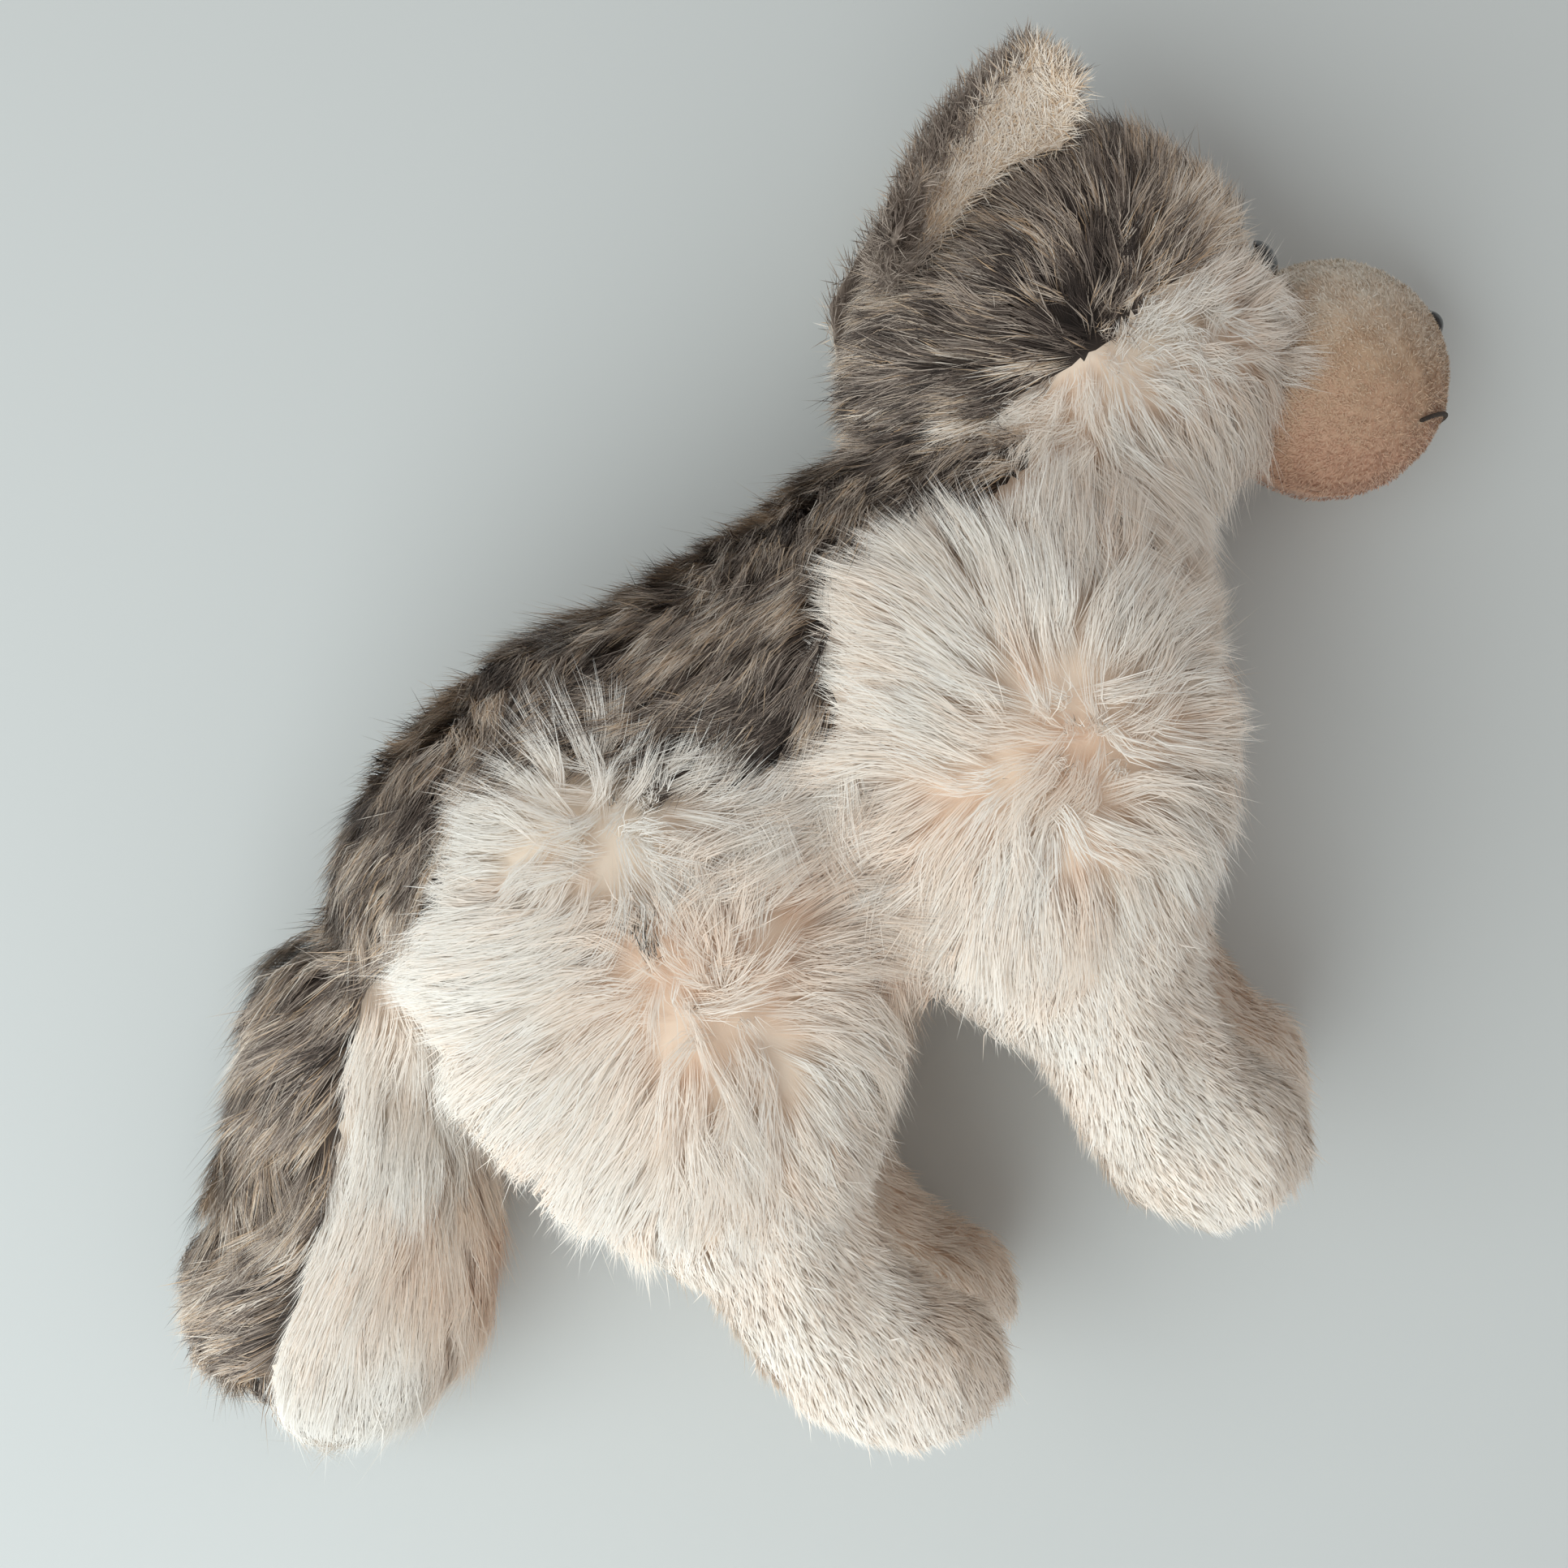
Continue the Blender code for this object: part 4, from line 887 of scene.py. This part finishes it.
def speckled_material(name, scale, stops, roughness, strength):
    """Even material with a fine uneven grain in colour and height."""
    nodes = Nodes(name)
    place = nodes.add("ShaderNodeTexCoord")
    grain = nodes.add("ShaderNodeTexNoise", Scale=scale, Detail=5.0, Roughness=0.6)
    nodes.link(place.outputs["Object"], grain.inputs["Vector"])
    nodes.link(nodes.ramp(grain.outputs["Fac"], stops), nodes.shader.inputs["Base Color"])
    bump = nodes.add("ShaderNodeBump", Strength=strength, Distance=0.0006)
    nodes.link(grain.outputs["Fac"], bump.inputs["Height"])
    nodes.link(bump.outputs[0], nodes.shader.inputs["Normal"])
    nodes.settings(Roughness=roughness)
    return nodes.material


def small_materials():
    """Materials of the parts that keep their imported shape, by material slot."""
    return {
        "fibre": speckled_material("stuffing_fibre", 420.0, [
            (0.30, srgb(216, 214, 208)), (0.50, srgb(238, 237, 232)), (0.70, srgb(250, 249, 246))], 0.9, 0.9),
        "washer_plastic": speckled_material("washer", 260.0, [
            (0.30, srgb(222, 222, 218)), (0.50, srgb(230, 230, 226)),
            (0.70, srgb(238, 238, 234))], 0.45, 0.15),
        "dark_thread": speckled_material("embroidery_thread", 2400.0, [
            (0.30, srgb(40, 32, 27)), (0.50, srgb(60, 49, 40)), (0.70, srgb(88, 72, 60))], 0.7, 0.8),
        "gloss_black": gloss_material(),
    }


# Stage

def make_camera():
    """Camera straight above the wolf, turned as in the photograph."""
    data = bpy.data.cameras.new("camera")
    data.sensor_width = SENSOR_WIDTH
    data.lens = SENSOR_WIDTH / (2.0 * VIEW_SLOPE)
    camera = bpy.data.objects.new("camera", data)
    camera.location = CAMERA_PLACE
    camera.rotation_euler = (0.0, 0.0, -CAMERA_TURN)
    bpy.context.scene.collection.objects.link(camera)
    bpy.context.scene.camera = camera


def make_floor():
    """Pale even tabletop."""
    corners = np.array(((-1.0, -1.0, 0.0), (1.0, -1.0, 0.0), (1.0, 1.0, 0.0), (-1.0, 1.0, 0.0)))
    mesh = new_mesh("floor", corners * FLOOR_HALF_SIDE, np.array(((0, 1, 2), (0, 2, 3))))
    floor = linked("floor", mesh)
    nodes = Nodes("tabletop")
    nodes.settings(Base_Color=srgb(212, 215, 214), Roughness=0.6)
    mesh.materials.append(nodes.material)


def make_light():
    """Broad cool window light from the photograph's lower left, and a warmer room."""
    data = bpy.data.lights.new("window", "AREA")
    data.shape = "RECTANGLE"
    data.size, data.size_y = WINDOW_SIZE
    data.energy = WINDOW_POWER
    data.color = WINDOW_COLOUR
    window = bpy.data.objects.new("window", data)
    place = Vector(heading(*WINDOW_WAY)) + Vector((0.0, 0.0, WINDOW_HEIGHT))
    window.location = place
    window.rotation_euler = (-place).to_track_quat("-Z", "Y").to_euler()
    bpy.context.scene.collection.objects.link(window)
    world = bpy.data.worlds.new("room")
    world.use_nodes = True
    background = world.node_tree.nodes["Background"]
    background.inputs["Color"].default_value = ROOM_COLOUR
    background.inputs["Strength"].default_value = ROOM_STRENGTH
    bpy.context.scene.world = world
    bpy.context.scene.view_settings.view_transform = "Standard"


def settle(piece, node):
    """Makes a piece stand for a CAD node: puts it in the root body and hides the node."""
    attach(piece, "root")
    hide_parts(node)
    return piece


def make_fur(materials):
    """Long and short pile round body, head, legs and tail."""
    skin = Skin()
    for index, cover in enumerate(FUR_COVERS):
        rng = np.random.default_rng(100 + index)
        pile = PILES[cover]
        faces = skin.faces_of(cover)
        hairs = strands(skin, faces, pile, rng)
        piece = dressed_piece(cover + "_pile", skin, faces, pile.tone, 0.0, hairs, materials[pile.palette])
        settle(piece, cover)


def muzzle_tone(points, normals):
    """Tone of the muzzle's velour: peach below and towards the cheek, pale on top."""
    up = (points - NOSE_PLACE) @ heading(0.1, 1.0)
    mottle = 0.05 * ripple(points, 0.012, 9) + 0.06 * ripple(points, 0.0035, 10)
    return np.clip(0.48 + 15.0 * (up + 0.014) + mottle, 0.08, 0.97)


def make_muzzle():
    """Three velour panels with rounded edges, so their seams show as fine grooves."""
    material = velour_material()
    for index, node in enumerate(MUZZLE_COVERS):
        rng = np.random.default_rng(200 + index)
        surface = Surface(*remeshed((node,), SHELL_VOXEL, MUZZLE_SMOOTHING))
        density = HIDDEN_MUZZLE_DENSITY if node == "muzzle_side_left" else MUZZLE_DENSITY
        pile = nap(surface, MUZZLE_NAP_LENGTH, density, MUZZLE_NAP_WIDTH, heading(-1.0, 0.1),
                   MUZZLE_NAP_LIFT, muzzle_tone, rng)
        piece = dressed_piece(node + "_velour", surface, surface.triangles, muzzle_tone,
                              MUZZLE_CLOTH_PLACE, pile, material)
        settle(piece, node)


def lining_tone(points, normals):
    """Tone of the ear lining: cream, with the gray pile of the ear's back reaching over its rim."""
    columns, rows = photo_pixels(points)
    rim_columns, rim_rows = zip(*EAR_RIM)
    inside = columns - np.interp(rows, rim_rows, rim_columns)
    share = smooth_step(inside + EAR_RIM_WAVE * ripple(points, 0.006, 12), -EAR_RIM_BLUR, EAR_RIM_BLUR)
    share = np.where(points[:, 2] < LYING_EAR_HEIGHT, 1.0, share)
    return share * (0.97 + 0.02 * ripple(points, 0.010, 11)) + (1.0 - share) * gray_tone(points, normals)


def make_ears(material):
    """Cupped ears: gray pile behind, cream pile inside."""
    for index, node in enumerate(EAR_BACKS + EAR_LININGS):
        rng = np.random.default_rng(300 + index)
        surface = Surface(*remeshed((node,), SHELL_VOXEL, EAR_SMOOTHING))
        lining = node in EAR_LININGS
        tone = lining_tone if lining else gray_tone
        length = EAR_LINING_LENGTH if lining else EAR_BACK_LENGTH
        density = EAR_DENSITY if node.endswith("right") else HIDDEN_EAR_DENSITY
        pile = nap(surface, length, density, EAR_NAP_WIDTH, heading(0.25, 1.0), EAR_NAP_LIFT, tone, rng)
        piece = dressed_piece(node + "_cloth", surface, surface.triangles, tone, EAR_CLOTH_PLACE, pile,
                              material)
        settle(piece, node)


def rounded_copy(node, material, host=None, proud=0.0):
    """Copy of a small CAD part with its facets smoothed into curves; a button stands proud of its host."""
    points, triangles, _ = joined_nodes((node,))
    if host is not None:
        middle = node_middle(node)
        points = middle + (points - middle) * BUTTON_SCALE + unit(middle - node_middle(host)) * proud
    mesh = new_mesh(node + "_round", points, triangles)
    piece = linked(node + "_round", mesh)
    weld = piece.modifiers.new("weld", "WELD")
    weld.merge_threshold = 0.00001
    piece.modifiers.new("round", "SUBSURF").levels = 2
    depsgraph = bpy.context.evaluated_depsgraph_get()
    piece.data = bpy.data.meshes.new_from_object(piece.evaluated_get(depsgraph))
    piece.modifiers.clear()
    piece.data.shade_smooth()
    piece.data.materials.clear()
    piece.data.materials.append(material)
    return settle(piece, node)


def make_small_parts():
    """Buttons and stitching as smooth pieces, and finishes for the parts that stay as packed."""
    materials = small_materials()
    buttons = (("eye_right", "head_filling", EYE_LIFT), ("eye_left", "head_filling", EYE_LIFT),
               ("nose", "muzzle_side_right", NOSE_LIFT))
    for node, host, proud in buttons:
        rounded_copy(node, materials["gloss_black"], host, proud)
    rounded_copy("mouth_stitching", materials["dark_thread"])
    for row in frame["record"]["subparts"]:
        material = materials.get(row["material_slot"])
        if material is not None:
            mesh = frame["nodes"][row["node"]].data
            mesh.materials.clear()
            mesh.materials.append(material)


def main():
    """Builds the wolf's looks and the scene round it."""
    fur_materials = {"gray": gray_pile_material(), "cream": cream_pile_material()}
    make_fur(fur_materials)
    make_muzzle()
    make_ears(fur_materials["gray"])
    make_small_parts()
    make_camera()
    make_floor()
    make_light()


main()
